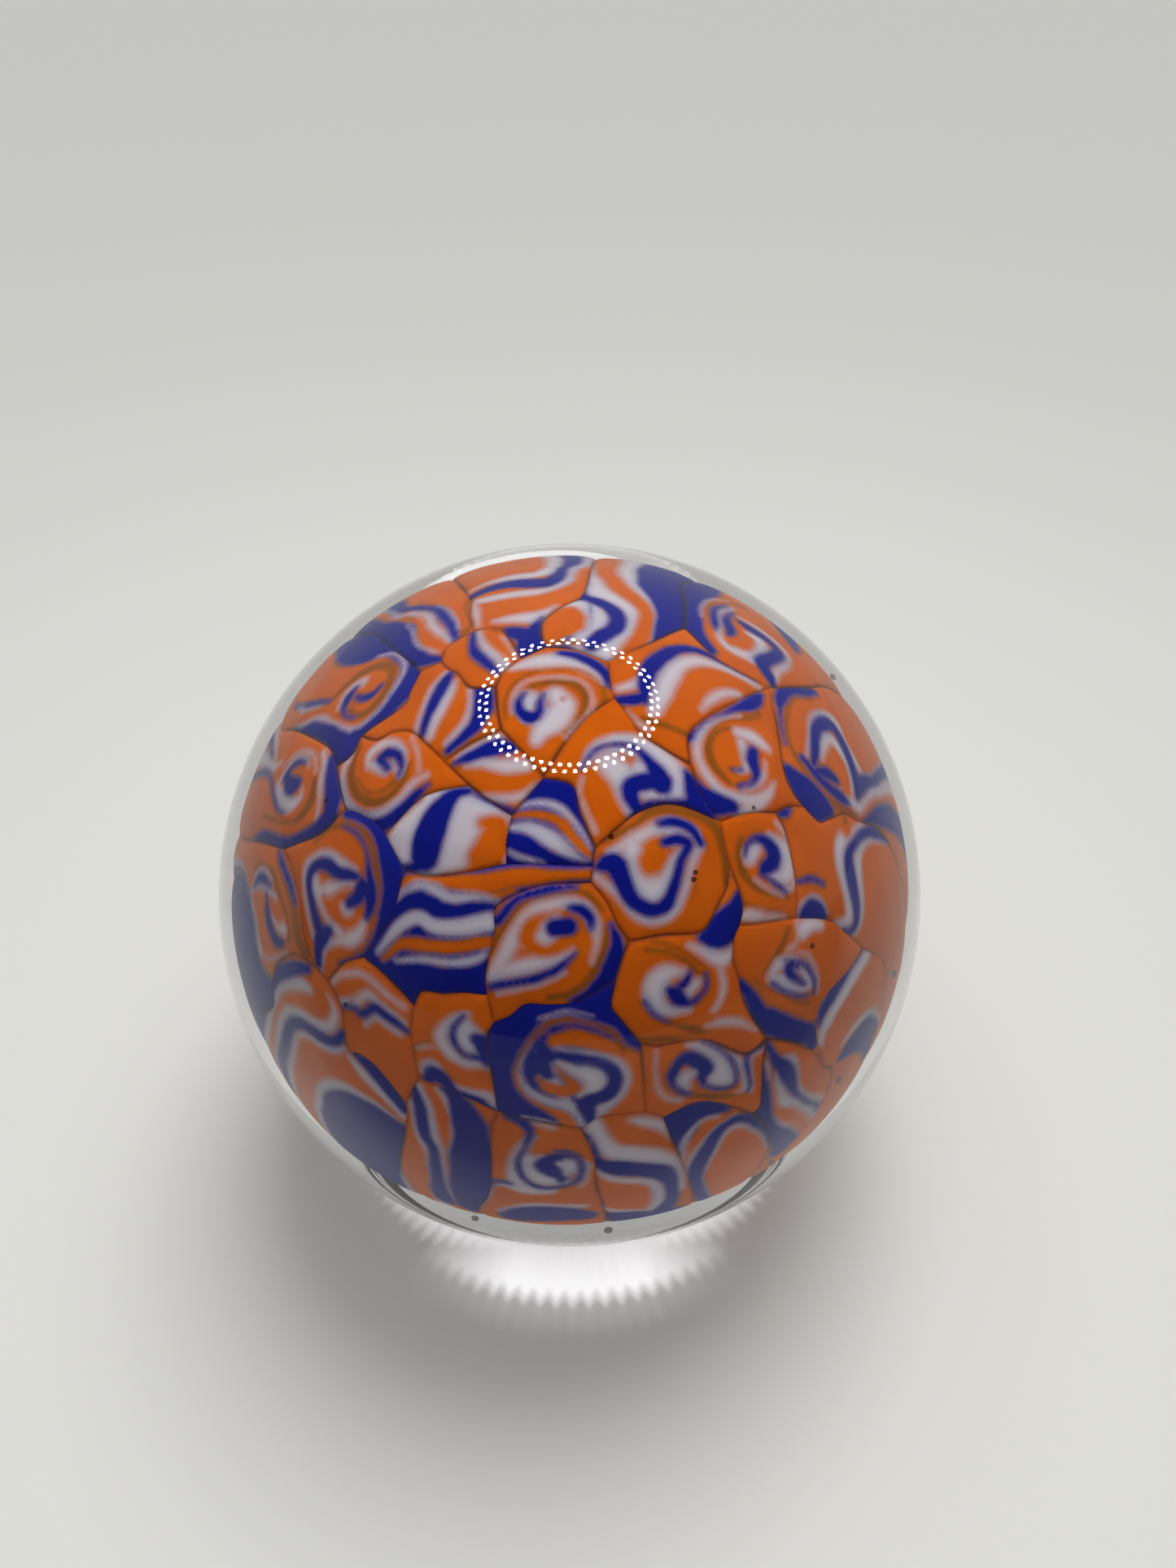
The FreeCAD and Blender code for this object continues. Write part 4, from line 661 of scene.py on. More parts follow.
        ("blue", (-18.9, -35, 0.4), (-17.3, -34.7, 0.8), (-16.2, -35.7, 0.7), (-15.5, -37, 0.6),
         (-14, -37.9, 0.4)),
        ("brown", (-19.5, -32.4, 0.12), (-18.4, -31.6, 0.2), (-16.6, -31.6, 0.12)),
        ("white", (-18.6, -31.95, 0.1), (-17.2, -31.9, 0.15), (-16, -32.2, 0.1)),
    ]),
    "slice_34_left_bands": ("orange", [
        ("white", (-22.8, -36.6, 0.35), (-23, -38.4, 0.5), (-24, -40.4, 0.5), (-24.2, -41.8, 0.45),
         (-24.2, -43.2, 0.4), (-26, -45.4, 0.45), (-28.4, -47.4, 0.5), (-31, -49.2, 0.6), (-34, -51, 0.6)),
        ("white", (-20.4, -35.4, 0.4), (-20.2, -37.4, 0.5), (-20.9, -39.4, 0.7), (-21.6, -41.4, 0.65),
         (-21.7, -43, 0.5), (-22.8, -44.6, 0.4), (-24.6, -46.4, 0.45), (-26.8, -48.6, 0.5),
         (-28.6, -50.6, 0.6)),
        ("blue", (-21.3, -35.6, 0.4), (-21.5, -37.4, 0.6), (-22.4, -39.4, 0.6), (-23, -41.2, 0.55),
         (-22.8, -42.8, 0.5), (-24.2, -44.6, 0.5), (-26.4, -46.6, 0.6), (-28.8, -48.6, 0.8),
         (-31, -50.6, 0.9)),
        ("white", (-17.9, -36.2, 0.2), (-17, -37.8, 0.4), (-16.6, -39.8, 0.45), (-17, -42, 0.7),
         (-17.7, -43.3, 0.8), (-19.6, -44.4, 0.3), (-20.5, -46.4, 0.3), (-21.6, -48.6, 0.35),
         (-23.4, -51.4, 0.4)),
        ("blue", (-17, -36, 0.4), (-15.6, -37.8, 0.7), (-14.7, -40.2, 1.5), (-15, -42.8, 1.6),
         (-16.4, -45.6, 2), (-18, -48.4, 2.1), (-20, -51.4, 2.2), (-22, -55, 2.2)),
    ]),
    "slice_35_front_spiral": ("blue", [
        ("orange", (-2, -33.2, 0.7), (0.2, -33, 0.9), (3, -33.7, 0.9), (5.6, -34.6, 1), (7.8, -36.2, 1.6),
         (8.6, -38.6, 1.9), (7, -40.4, 1.6), (4.8, -41.6, 1)),
        ("white", (-3.6, -31.2, 0.12), (-0.6, -30.6, 0.16), (2.2, -31, 0.12)),
        ("brown", (6, -33.8, 0.2), (4, -32.4, 0.35), (2, -31.7, 0.3), (-0.5, -31.3, 0.35),
         (-2.8, -31.7, 0.35), (-4.3, -32.9, 0.35), (-5.9, -34.4, 0.3), (-6.9, -36, 0.3)),
        ("orange", (-6.9, -35.8, 0.25), (-6.8, -37.3, 0.35), (-5.6, -38.9, 0.4), (-3.8, -40.1, 0.45),
         (-1.8, -41, 0.8), (-0.6, -42.2, 0.9)),
        ("white", (-4.4, -33.6, 0.2), (-5.9, -35.4, 0.3), (-6.2, -36.9, 0.3), (-5.2, -38.4, 0.45),
         (-3.2, -39.4, 0.55), (-1, -39.9, 0.7), (0.6, -41, 0.6), (1.6, -42.4, 0.5)),
        ("blue", (-3.6, -32.9, 0.25), (-4.8, -34.3, 0.4), (-5.5, -35.8, 0.4), (-5.4, -37.1, 0.25)),
        ("white", (-2, -34, 0.3), (0.2, -34.3, 0.35), (3, -34.8, 0.4), (5, -35.4, 0.6), (6, -36.8, 0.65),
         (5.6, -38.6, 0.6), (4.2, -40, 0.6), (3.2, -41.2, 0.6), (3, -42.4, 0.5)),
        ("white", (-1.9, -35.3, 0.4), (0, -36.2, 0.7), (1.8, -36.7, 1.1), (2.6, -37.2, 1.2),
         (1.4, -38.3, 1)),
        ("white", (-3, -36.8, 0.8), (-1, -39.3, 0.5)),
        ("blue", (-2.2, -34.3, 0.3), (-0.5, -34.8, 0.5), (2, -35.2, 0.45), (4, -35.7, 0.55),
         (4.9, -37, 0.6), (4.3, -38.5, 0.7), (2.8, -39.2, 0.75), (1.6, -39.7, 0.85), (2, -41, 0.6),
         (2.4, -42.3, 0.35)),
        ("orange", (-4, -36.9, 0.4), (-3, -37.9, 0.65), (-1.5, -38.2, 0.7), (-0.1, -37.8, 0.75),
         (-1.2, -36.7, 0.45), (-2.4, -35.6, 0.3)),
        ("white", (-2.8, -36.8, 0.45), (-2.8, -35.6, 0.35)),
        ("blue", (-3.3, -34.9, 0.4), (-3.4, -36.1, 0.6), (-3, -36.5, 0.45)),
        ("white", (-7, -41, 0.2), (-4.6, -41.7, 0.3), (-2.8, -42.2, 0.25)),
        ("brown", (5.2, -33.5, 0.2), (5.8, -34, 0.25)),
    ]),
    "slice_36_twin_comma": ("orange", [
        ("white", (9.5, -34, 0.1), (9.8, -36, 0.15), (10.6, -37.8, 0.2), (12, -38.6, 0.28),
         (14, -38.7, 0.2)),
        ("white", (18, -32.6, 0.15), (20, -32.9, 0.25), (21.6, -33.4, 0.4), (22.6, -34.4, 0.4),
         (23.3, -35.5, 0.4), (22.2, -36.2, 0.15)),
        ("white", (13.4, -33, 0.25), (15.4, -32.9, 0.5), (17.4, -33.3, 0.7), (19, -34.4, 1.4),
         (18.9, -35.2, 1.2), (17.4, -35.6, 0.9)),
        ("white", (20.2, -34.6, 0.9), (20.2, -35.2, 0.8)),
        ("blue", (15.4, -32.4, 0.08), (17.2, -32.4, 0.12), (19.2, -33, 0.15), (20.9, -34.2, 0.2),
         (21.4, -35.2, 0.2), (20.6, -36, 0.2), (18.6, -36.5, 0.2), (16.4, -36.5, 0.2)),
        ("blue", (16.5, -36.3, 0.3), (15.9, -35.6, 0.5), (16.1, -34.8, 0.85), (15, -34.3, 0.75),
         (13.5, -34.3, 0.6), (12.3, -35.1, 0.5), (12, -36.3, 0.45), (12.7, -37.2, 0.35),
         (14.2, -37.8, 0.25), (15.6, -37.9, 0.1)),
        ("white", (14.6, -35.6, 0.5), (13.7, -36.3, 0.8), (14.4, -37.2, 0.35)),
        ("brown", (15.2, -38, 0.25), (17, -37.7, 0.35), (19, -37.4, 0.35), (21, -37, 0.25),
         (22.6, -36.5, 0.12)),
        ("white", (24.2, -31, 0.12), (22.9, -32, 0.2), (22.6, -32.7, 0.22), (23.2, -33.6, 0.22),
         (24.2, -34.6, 0.22), (24.8, -35.5, 0.2)),
        ("blue", (23.8, -30.8, 0.2), (22.4, -31.7, 0.25), (21.9, -32.4, 0.28), (22.4, -33.2, 0.22),
         (23.4, -34.2, 0.18), (24.2, -35, 0.18), (24.3, -35.7, 0.12)),
    ]),
    "slice_37_front_comma": ("orange", [
        ("white", (-24, -53.8, 0.5), (-19, -51.8, 0.7), (-16, -50.4, 0.35), (-13.8, -50.2, 0.3),
         (-11.6, -50.6, 0.6), (-9, -51.6, 0.8), (-5, -52.1, 0.7)),
        ("white", (-6, -43.8, 0.5), (-8.4, -45.4, 0.5), (-9.8, -47.8, 0.7), (-10, -50.2, 0.8),
         (-7.8, -51.2, 0.6)),
        ("white", (-6.6, -47.6, 1.9), (-5.4, -48.8, 2), (-3, -49.3, 1.9), (-1.2, -48.4, 1.9)),
        ("orange", (-0.8, -44.2, 0.8), (-3, -43.9, 0.9), (-4.8, -44.7, 0.8), (-6, -45.7, 0.35)),
        ("blue", (-9, -40.7, 0.3), (-7, -41.7, 0.4), (-6.1, -43, 0.38), (-7.1, -44.7, 0.2),
         (-8.6, -46.4, 0.22), (-9, -48.2, 0.25), (-8.2, -50, 0.25), (-6, -51.3, 0.3), (-3.4, -51.4, 0.28),
         (-0.8, -50.9, 0.25), (0.7, -49.8, 0.25), (1.1, -48.3, 0.25), (0.6, -46.8, 0.25),
         (-0.8, -45.8, 0.2), (-2.8, -45.5, 0.12)),
        ("white", (-5.6, -41.6, 0.3), (-4, -42.3, 0.35), (-2.8, -42.6, 0.2)),
        ("blue", (-0.4, -46.6, 0.2), (-2, -46.2, 0.35), (-3.4, -46.8, 0.8), (-4.3, -47.7, 1),
         (-3.2, -48.7, 0.8), (-2.1, -49.4, 0.5), (-2.2, -50.3, 0.25)),
        ("white", (-2.3, -47.4, 0.45), (-1.1, -48, 0.6), (-0.9, -49.2, 0.45)),
        ("orange", (-0.5, -49.9, 0.3), (0, -49.3, 0.2)),
        ("blue", (-18, -51, 0.2), (-15.8, -50, 0.28), (-13.6, -49.7, 0.25), (-11.6, -50.1, 0.2)),
        ("white", (1.9, -48.4, 0.1), (2, -50, 0.15), (0.8, -51.6, 0.15)),
        ("white", (-17, -56, 0.4), (-10, -55, 0.5), (-4, -55.6, 0.5), (2, -55.8, 0.4)),
        ("blue", (-15, -58, 1.2), (-9, -57.6, 2), (-3, -57.8, 1.8), (2, -58.4, 1.2)),
        ("orange", (-12, -61.5, 1.2), (-4, -61.5, 1.4), (4, -61, 1.2)),
    ]),
    "slice_38_front_bands": ("orange", [
        ("white", (7.6, -41.6, 0.3), (9.4, -41.6, 0.6), (12, -41.9, 0.6), (15, -43.4, 0.3)),
        ("white", (2.6, -42.2, 0.8), (3.6, -44, 1), (5.6, -45.6, 1.2), (9, -46, 1.3), (13, -46.4, 1.3),
         (17, -48, 1), (21, -51, 0.8)),
        ("blue", (1, -43.4, 0.2), (2.1, -44.1, 0.3), (2.9, -45.9, 0.3), (3.6, -47.4, 0.5), (4.8, -48, 0.9),
         (8, -48.2, 1.1), (12, -48.2, 1), (15.6, -48.8, 1), (18.6, -51.2, 0.9), (21, -54, 0.9),
         (22, -57, 0.8)),
        ("white", (2.4, -42.6, 0.2), (2.8, -44.2, 0.2)),
        ("white", (3.4, -48.8, 0.2), (5.4, -49.8, 0.5), (9, -50.2, 0.6), (13, -50.2, 0.6),
         (16, -51.4, 0.6), (18, -54, 0.6), (17, -56.4, 0.5), (11, -57, 0.5), (6.6, -56.8, 0.4)),
        ("blue", (8, -59, 1.2), (14, -58.8, 1.6), (20, -58.6, 1.4), (25, -56, 1)),
    ]),
    "slice_39_orange_oval": ("orange", [
        ("blue", (12.6, -41, 0.3), (14.4, -41.2, 1.4), (15.2, -42.4, 1.6), (15.4, -43.8, 1),
         (16.2, -45, 0.5), (17, -45.9, 0.15)),
        ("blue", (14.4, -40.4, 0.8), (16.6, -39.8, 1.1), (19, -39, 0.8), (21, -38.6, 0.5),
         (22.6, -38.5, 0.15)),
        ("white", (21, -39.5, 0.2), (18.9, -40.2, 0.3), (17.5, -41.4, 0.35), (16.9, -43, 0.4),
         (17, -44.4, 0.35), (17.7, -45.6, 0.25), (18.6, -46.8, 0.12)),
        ("white", (24, -38.9, 0.15), (22.6, -40, 0.2), (21.3, -41.6, 0.3), (20.4, -43.4, 0.4),
         (19.8, -45.2, 0.5), (20.2, -46.8, 0.5), (21.5, -48.3, 0.4), (23.4, -49.5, 0.25),
         (26, -50.8, 0.12)),
        ("white", (44, -37.4, 0.3), (38, -38.8, 0.3), (34, -38.9, 0.3), (30, -38.9, 0.35),
         (26.4, -39.4, 0.35), (24.4, -40.4, 0.3), (23.2, -42, 0.4), (23, -44, 0.5), (23.2, -46, 0.5),
         (24, -47.6, 0.4), (26, -49.2, 0.25), (30, -50.4, 0.25), (36, -50.4, 0.3), (42, -48.4, 0.3)),
        ("blue", (44, -36.8, 0.4), (38, -38.2, 0.4), (34, -38.3, 0.4), (30, -38.2, 0.45),
         (26, -38.6, 0.45), (23.6, -39.8, 0.5), (22.1, -41.6, 0.6), (21.6, -43.6, 0.7), (21.6, -45.4, 0.8),
         (22.4, -47.2, 0.7), (24.4, -49, 0.6), (27, -50.3, 0.5), (30, -51, 0.5), (34, -51.2, 0.5),
         (38, -50.6, 0.5), (44, -48.6, 0.5)),
    ]),
}


# ---------------------------------------------------------------------------------------
# Slices
# ---------------------------------------------------------------------------------------

def outline_of(node):
    """The corner directions round a slice, in order, read from its CAD node."""
    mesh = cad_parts[node].data
    points = np.array([v.co for v in mesh.vertices], float) / MM - CENTRE
    outer = np.abs(np.linalg.norm(points, axis=1) - SLICE_OUTER) < ON_SURFACE
    keys = [tuple(np.round(p, 3)) for p in points]
    edges = set()
    for polygon in mesh.polygons:
        corners = list(polygon.vertices)
        if not all(outer[v] for v in corners):
            continue
        if np.array(polygon.normal) @ unit(points[corners].mean(axis=0)) < FACING_OUT:
            continue
        edges.update((keys[a], keys[b]) for a, b in zip(corners, corners[1:] + corners[:1]))
    following = {a: b for a, b in edges if (b, a) not in edges}
    start = min(following)
    loop = [start]
    while following[loop[-1]] != start:
        loop.append(following[loop[-1]])
    loop = unit(np.array(loop))
    kept = []
    for before, here, after in zip(np.roll(loop, 1, axis=0), loop, np.roll(loop, -1, axis=0)):
        bend = np.cross(unit(np.cross(before, here)), unit(np.cross(here, after)))
        if np.linalg.norm(bend) > REAL_BEND:
            kept.append(here)
    return np.array(kept)


def near_key(direction, known):
    """The key of a known corner at this direction, so that neighbours agree."""
    for name, place in known.items():
        if np.abs(place - direction).max() < SAME_CORNER:
            return name
    return None


def smooth_run(points, steps_between):
    """A Catmull-Rom run through points. steps_between says how many steps join two of them."""
    padded = np.vstack([2 * points[0] - points[1], points, 2 * points[-1] - points[-2]])
    run = []
    for p0, p1, p2, p3 in zip(padded, padded[1:], padded[2:], padded[3:]):
        steps = max(2, int(steps_between(p1, p2)))
        for k in range(steps):
            t = k / steps
            run.append(0.5 * (2 * p1 + (p2 - p0) * t + (2 * p0 - 5 * p1 + 4 * p2 - p3) * t * t
                              + (3 * p1 - p0 - 3 * p2 + p3) * t ** 3))
    run.append(points[-1])
    return np.array(run)


def outline_steps(start, end):
    return math.ceil(np.linalg.norm(end - start) * SLICE_OUTER / OUTLINE_STEP)


def round_off(chain):
    """A smooth run of directions through a chain of corners, ends kept."""
    if len(chain) == 2:
        t = np.linspace(0, 1, max(2, outline_steps(*chain)) + 1)[:, None]
        return unit(chain[0] * (1 - t) + chain[1] * t)
    return unit(smooth_run(chain, outline_steps))


def smooth_outlines(outlines):
    """Each slice's outline as a smooth loop that meets its neighbours' exactly."""
    known = {}
    named = {}
    for node, loop in outlines.items():
        names = []
        for direction in loop:
            name = near_key(direction, known)
            if name is None:
                name = len(known)
                known[name] = direction
            names.append(name)
        named[node] = names
    owners = {}
    for node, names in named.items():
        for name in names:
            owners.setdefault(name, set()).add(node)
    smooth = {}
    for node, names in named.items():
        shared = [frozenset(owners[a] & owners[b]) for a, b in zip(names, names[1:] + names[:1])]
        breaks = [i for i in range(len(names)) if shared[i] != shared[i - 1]] or [0]
        pieces = []
        for begin, end in zip(breaks, breaks[1:] + breaks[:1]):
            length = (end - begin) % len(names) or len(names)
            chain_names = [names[(begin + k) % len(names)] for k in range(length + 1)]
            chain = np.array([known[n] for n in chain_names])
            # Both owners of a seam draw it from the same end, so their points agree.
            if chain_names[0] > chain_names[-1]:
                pieces.append(round_off(chain[::-1])[::-1][:-1])
            else:
                pieces.append(round_off(chain)[:-1])
        smooth[node] = np.vstack(pieces)
    return smooth


def sheet_frame(directions):
    """The axis through a slice's middle and two sides at right angles to it."""
    axis = unit(directions.sum(axis=0))
    helper = [0.3, 0.2, 0.93] if abs(axis[2]) < 0.9 else [1.0, 0.0, 0.0]
    side = unit(np.cross(helper, axis))
    return axis, side, np.cross(axis, side)


def flatten(directions, basis):
    """Directions laid flat round a slice's axis, in mm of arc."""
    axis, side, up = basis
    polar = np.arccos(np.clip(directions @ axis, -1, 1))
    x, y = directions @ side, directions @ up
    scale = np.where(polar > 1e-9, polar / np.maximum(np.hypot(x, y), 1e-12), 1.0)
    return np.stack([x * scale, y * scale], -1) * SLICE_OUTER


def unflatten(spots, basis):
    """The directions of spots that flatten laid flat."""
    axis, side, up = basis
    polar = np.hypot(spots[:, 0], spots[:, 1]) / SLICE_OUTER
    turn = np.arctan2(spots[:, 1], spots[:, 0])
    return (np.cos(polar)[:, None] * axis + (np.sin(polar) * np.cos(turn))[:, None] * side
            + (np.sin(polar) * np.sin(turn))[:, None] * up)


def distance_to_piece(directions, start, end):
    """Distance in mm from each direction to a straight piece, and how far along it that is."""
    along = end - start
    t = np.clip(((directions - start) @ along) / max(along @ along, 1e-12), 0, 1)
    return np.linalg.norm(directions - (start + t[:, None] * along), axis=1) * SLICE_OUTER, t


def distance_to_run(directions, run):
    """Distance in mm from each direction to the nearest straight piece of a run."""
    return np.min([distance_to_piece(directions, a, b)[0] for a, b in zip(run[:-1], run[1:])], axis=0)


def inside(spots, loop):
    """Which spots on the flat are inside a loop."""
    found = np.zeros(len(spots), bool)
    x, y = spots[:, 0], spots[:, 1]
    for (ax, ay), (bx, by) in zip(loop, np.roll(loop, -1, axis=0)):
        crosses = (ay > y) != (by > y)
        with np.errstate(divide="ignore", invalid="ignore"):
            found ^= crosses & (x < (bx - ax) * (y - ay) / (by - ay) + ax)
    return found


def fill(loop, basis, step):
    """Directions and triangles that cover the inside of a loop. The loop's points come first."""
    flat = flatten(loop, basis)
    low, high = flat.min(axis=0), flat.max(axis=0)
    rows = np.arange(low[1] + step / 2, high[1], step * math.sqrt(3) / 2)
    grid = []
    for r, y in enumerate(rows):
        shift = step / 2 if r % 2 else 0.0
        xs = np.arange(low[0] + shift, high[0], step)
        grid.append(np.stack([xs, np.full(len(xs), y)], -1))
    grid = np.vstack(grid)
    grid = grid[inside(grid, flat)]
    closed = np.vstack([loop, loop[:1]])
    grid = grid[distance_to_run(unflatten(grid, basis), closed) > step * 0.45]
    spots = [Vector(p) for p in np.vstack([flat, grid])]
    edges = [(i, (i + 1) % len(flat)) for i in range(len(flat))]
    made, _, faces, _, _, _ = delaunay_2d_cdt(spots, edges, [list(range(len(flat)))], 1, 1e-7)
    return unflatten(np.array([tuple(p) for p in made]), basis), [tuple(f) for f in faces]


def stroke_steps(start, end):
    return np.linalg.norm((end - start)[:2]) / STROKE_STEP


def stroke_run(points):
    """The spots of a stroke's middle line, close together. A stroke of one spot is a dot."""
    points = np.array(points, float)
    if len(points) == 1:
        return np.vstack([points, points])
    return smooth_run(points, stroke_steps)


def paint(directions, base, strokes):
    """How far each direction is from each colour's edge, in mm, negative inside the colour."""
    colours = ("orange", "blue", "white", "brown")
    fields = {c: np.full(len(directions), -FAR if c == base else FAR) for c in colours}
    for colour, *points in strokes:
        run = stroke_run(points)
        line = map_to_direction(run[:, :2])
        outside = np.full(len(directions), np.inf)
        for a, b, half_a, half_b in zip(line[:-1], line[1:], run[:-1, 2], run[1:, 2]):
            reach, t = distance_to_piece(directions, a, b)
            outside = np.minimum(outside, reach - (half_a + (half_b - half_a) * t))
        for name in colours:
            if name == colour:
                fields[name] = np.minimum(fields[name], outside)
            else:
                fields[name] = np.maximum(fields[name], -outside)
    return fields


def wander(directions):
    """Small unevenness of the drawn glass: a smooth shift of each direction."""
    moved = np.array([noise.noise_vector(Vector(d * WANDER_WAVES)) for d in directions])
    return unit(directions + moved * (WANDER / SLICE_OUTER))


def guessed_pattern(loop, number):
    """A swirl in the same colours, for a slice on the back whose own pattern isn't known."""
    middle = unit(np.mean(loop, axis=0))
    polar, turn = math.acos(middle[2]) * SLICE_OUTER, math.atan2(middle[0], middle[1])
    right, back = polar * math.sin(turn), polar * math.cos(turn)
    strokes = []
    for colour, start, half_width in SWIRL_ARMS:
        spots = []
        for k in range(SWIRL_SPOTS):
            reach, angle = SWIRL_FIRST + SWIRL_GROWTH * k, start + SWIRL_TURN * k + number
            spots.append((right + reach * math.sin(angle), back + reach * math.cos(angle), half_width))
        strokes.append((colour, *spots))
    return "orange", strokes


def make_slice(node, loop):
    """A slice's mesh: swollen outside, plain inside, walls along the seams, and colour fields."""
    basis = sheet_frame(loop)
    closed = np.vstack([loop, loop[:1]])
    outer, outer_faces = fill(loop, basis, MESH_STEP)
    inner, inner_faces = fill(loop, basis, INSIDE_STEP)
    edge = distance_to_run(outer, closed)
    rise = 1 - (1 - np.clip(edge / SWELL_REACH, 0, 1)) ** 2
    reach = SLICE_OUTER - SEAM_DEPTH + (SEAM_DEPTH + SWELL) * np.sqrt(np.maximum(rise, 0))
    places = np.vstack([outer * reach[:, None], inner * SLICE_INNER]) + CENTRE
    faces = list(outer_faces)
    faces += [tuple(v + len(outer) for v in reversed(f)) for f in inner_faces]
    for i in range(len(loop)):
        j = (i + 1) % len(loop)
        faces.append((i, i + len(outer), j + len(outer), j))
    mesh = bpy.data.meshes.new(node)
    mesh.from_pydata([Vector(p) * MM for p in places], [], faces)
    mesh.validate()
    bm = bmesh.new()
    bm.from_mesh(mesh)
    bmesh.ops.recalc_face_normals(bm, faces=bm.faces)
    bm.to_mesh(mesh)
    bm.free()
    mesh.shade_smooth()
    base, strokes = PATTERNS.get(node) or guessed_pattern(loop, int(node.split("_")[1]))
    fields = paint(wander(np.vstack([outer, inner])), base, strokes)
    fields["edge"] = np.concatenate([edge, distance_to_run(inner, closed)])
    for name, values in fields.items():
        attribute = mesh.attributes.new(name, "FLOAT", "POINT")
        attribute.data.foreach_set("value", np.clip(values, -FAR, FAR).astype(np.float32))
    return mesh


# ---------------------------------------------------------------------------------------
# Materials
# ---------------------------------------------------------------------------------------

ORANGE = (0.58, 0.115, 0.003)
ORANGE_DEEP = (0.40, 0.062, 0.002)
BLUE = (0.003, 0.007, 0.17)
BLUE_LIGHT = (0.015, 0.045, 0.27)
WHITE = (0.51, 0.46, 0.51)
PINK = (0.42, 0.27, 0.27)
LILAC = (0.26, 0.29, 0.42)
BROWN = (0.22, 0.062, 0.006)
SEAM = (0.05, 0.02, 0.02)
BLACK = (0.0, 0.0, 0.0)

# Noise in the slices' glass: waves per metre and detail.
RAGGED_NOISE = (900, 3)
CLOUD_NOISE = (220, 4)
PATCH_NOISE = (130, 2)
RAGGED_REACH = 0.30         # mm that a colour's edge trembles

# How a colour comes in over its edge: (mm outside the edge, share).
BLUE_EDGE = ((-0.22, 1.0), (0.26, 0.0))
WHITE_EDGE = ((-0.30, 1.0), (0.34, 0.0))
BROWN_EDGE = ((-0.2, 1.0), (0.25, 0.0))
NEAR_EDGE = ((0.0, 1.0), (0.8, 0.0))
RUST_EDGE = ((0.10, 0.75), (0.50, 0.0))
SEAM_EDGE = ((0.0, 0.8), (0.08, 0.5), (0.34, 0.0))
BLUE_DEPTH = ((-2.0, BLUE), (-0.3, BLUE), (0.1, BLUE_LIGHT))
# How much of the seam is seen, by the noise.
SEAM_PATCHES = ((0.40, 0.12), (0.62, 1.0))

GLASS_IOR = 1.5
# Painted shade: the bubbles' dark brown tint.
BUBBLE_SHADE_TINT = (0.25, 0.18, 0.15)
BUBBLE_IOR = 1.05
# Light that goes on through the glass, by how far from square on it meets it.
LIGHT_PASSED = ((0.0, 0.93), (0.23, 0.93), (0.34, 0.10), (1.0, 0.04))

FLOOR_COLOUR = (0.74, 0.74, 0.71)
# The colour of the painted glow on the floor.
PAINTED_GLOW_COLOUR = (0.97, 0.97, 1.0)
# Painted light: a caustic glow painted on the floor as emission, where the glass would gather light: (mm from
# the middle of the base, strength).
PAINTED_CRESCENT_GLOW = ((17.0, 0.25), (26.0, 0.45), (29.5, 0.62), (31.8, 0.70), (33.9, 0.12), (37.5, 0.0))
PAINTED_POOL_GLOW = ((28.0, 0.46), (31.5, 0.0))
# How the painted glow fades to the sides: (radians from straight ahead, share).
PAINTED_CRESCENT_SPREAD = ((0.25, 1.0), (0.62, 0.0))
PAINTED_POOL_SPREAD = ((1.0, 1.0), (2.4, 0.3))
# The toothed outer edge of the painted crescent:
TEETH = 110.0               # radians of wave per radian round the ball
TOOTH_REACH = 0.4           # mm
# Painted shade in the glass's reflections: how much darker the near side of the table is for glossy rays: (mm
# ahead, share).
PAINTED_NEAR_SHADE = ((42.0, 0.0), (75.0, 0.55))

LAMP_STRENGTH = 80.0


class Graph:
    """A node tree, with short ways to add what the materials need."""

    def __init__(self, tree):
        tree.nodes.clear()
        self.nodes = tree.nodes
        self.links = tree.links

    def put(self, socket, value):
        """Set a socket to a number or a colour, or join it to another node's output."""
        if isinstance(value, tuple):
            socket.default_value = (*value, 1.0)
        elif isinstance(value, (int, float)):
            socket.default_value = value
        else:
            self.links.new(value, socket)

    def add(self, kind, values):
        """A node of a kind, with a value for each named or numbered input."""
        node = self.nodes.new(kind)
        for name, value in values.items():
            self.put(node.inputs[name], value)
        return node

    def attribute(self, name):
        node = self.nodes.new("ShaderNodeAttribute")
        node.attribute_name = name
        return node.outputs["Fac"]

    def coordinates(self, system):
        return self.nodes.new("ShaderNodeTexCoord").outputs[system]

    def light_path(self, kind):
        return self.nodes.new("ShaderNodeLightPath").outputs[kind]

    def noise(self, waves, detail):
        node = self.add("ShaderNodeTexNoise", {
            "Scale": waves, "Detail": detail, "Vector": self.coordinates("Object")})
        return node.outputs["Fac"]

    def math(self, operation, *values):
        node = self.add("ShaderNodeMath", dict(enumerate(values)))
        node.operation = operation
        return node.outputs[0]

    def ramp(self, value, stops, low, high):
        """A ramp over low..high. Each stop is a place and a colour or a grey."""
        fit = self.add("ShaderNodeMapRange", {"From Min": low, "From Max": high, "Value": value})
        node = self.add("ShaderNodeValToRGB", {"Fac": fit.outputs[0]})
        elements = node.color_ramp.elements
        while len(elements) > 1:
            elements.remove(elements[-1])
        for i, (place, colour) in enumerate(stops):
            where = (place - low) / (high - low)
            element = elements[0] if i == 0 else elements.new(where)
            element.position = where
            element.color = (*colour, 1.0) if isinstance(colour, tuple) else (colour, colour, colour, 1.0)
        return node.outputs["Color"]

    def mix_colour(self, factor, first, second):
        node = self.nodes.new("ShaderNodeMix")
        node.data_type = "RGBA"
        for number, value in ((0, factor), (6, first), (7, second)):
            self.put(node.inputs[number], value)
        return node.outputs[2]

    def mix_shader(self, factor, first, second):
        return self.add("ShaderNodeMixShader", {
            "Fac": factor, 1: first.outputs[0], 2: second.outputs[0]})

    def finish(self, kind, shader):
        self.add(kind, {"Surface": shader.outputs[0]})


def new_material(name):
    material = bpy.data.materials.new(name)
    material.use_nodes = True
    return material, Graph(material.node_tree)


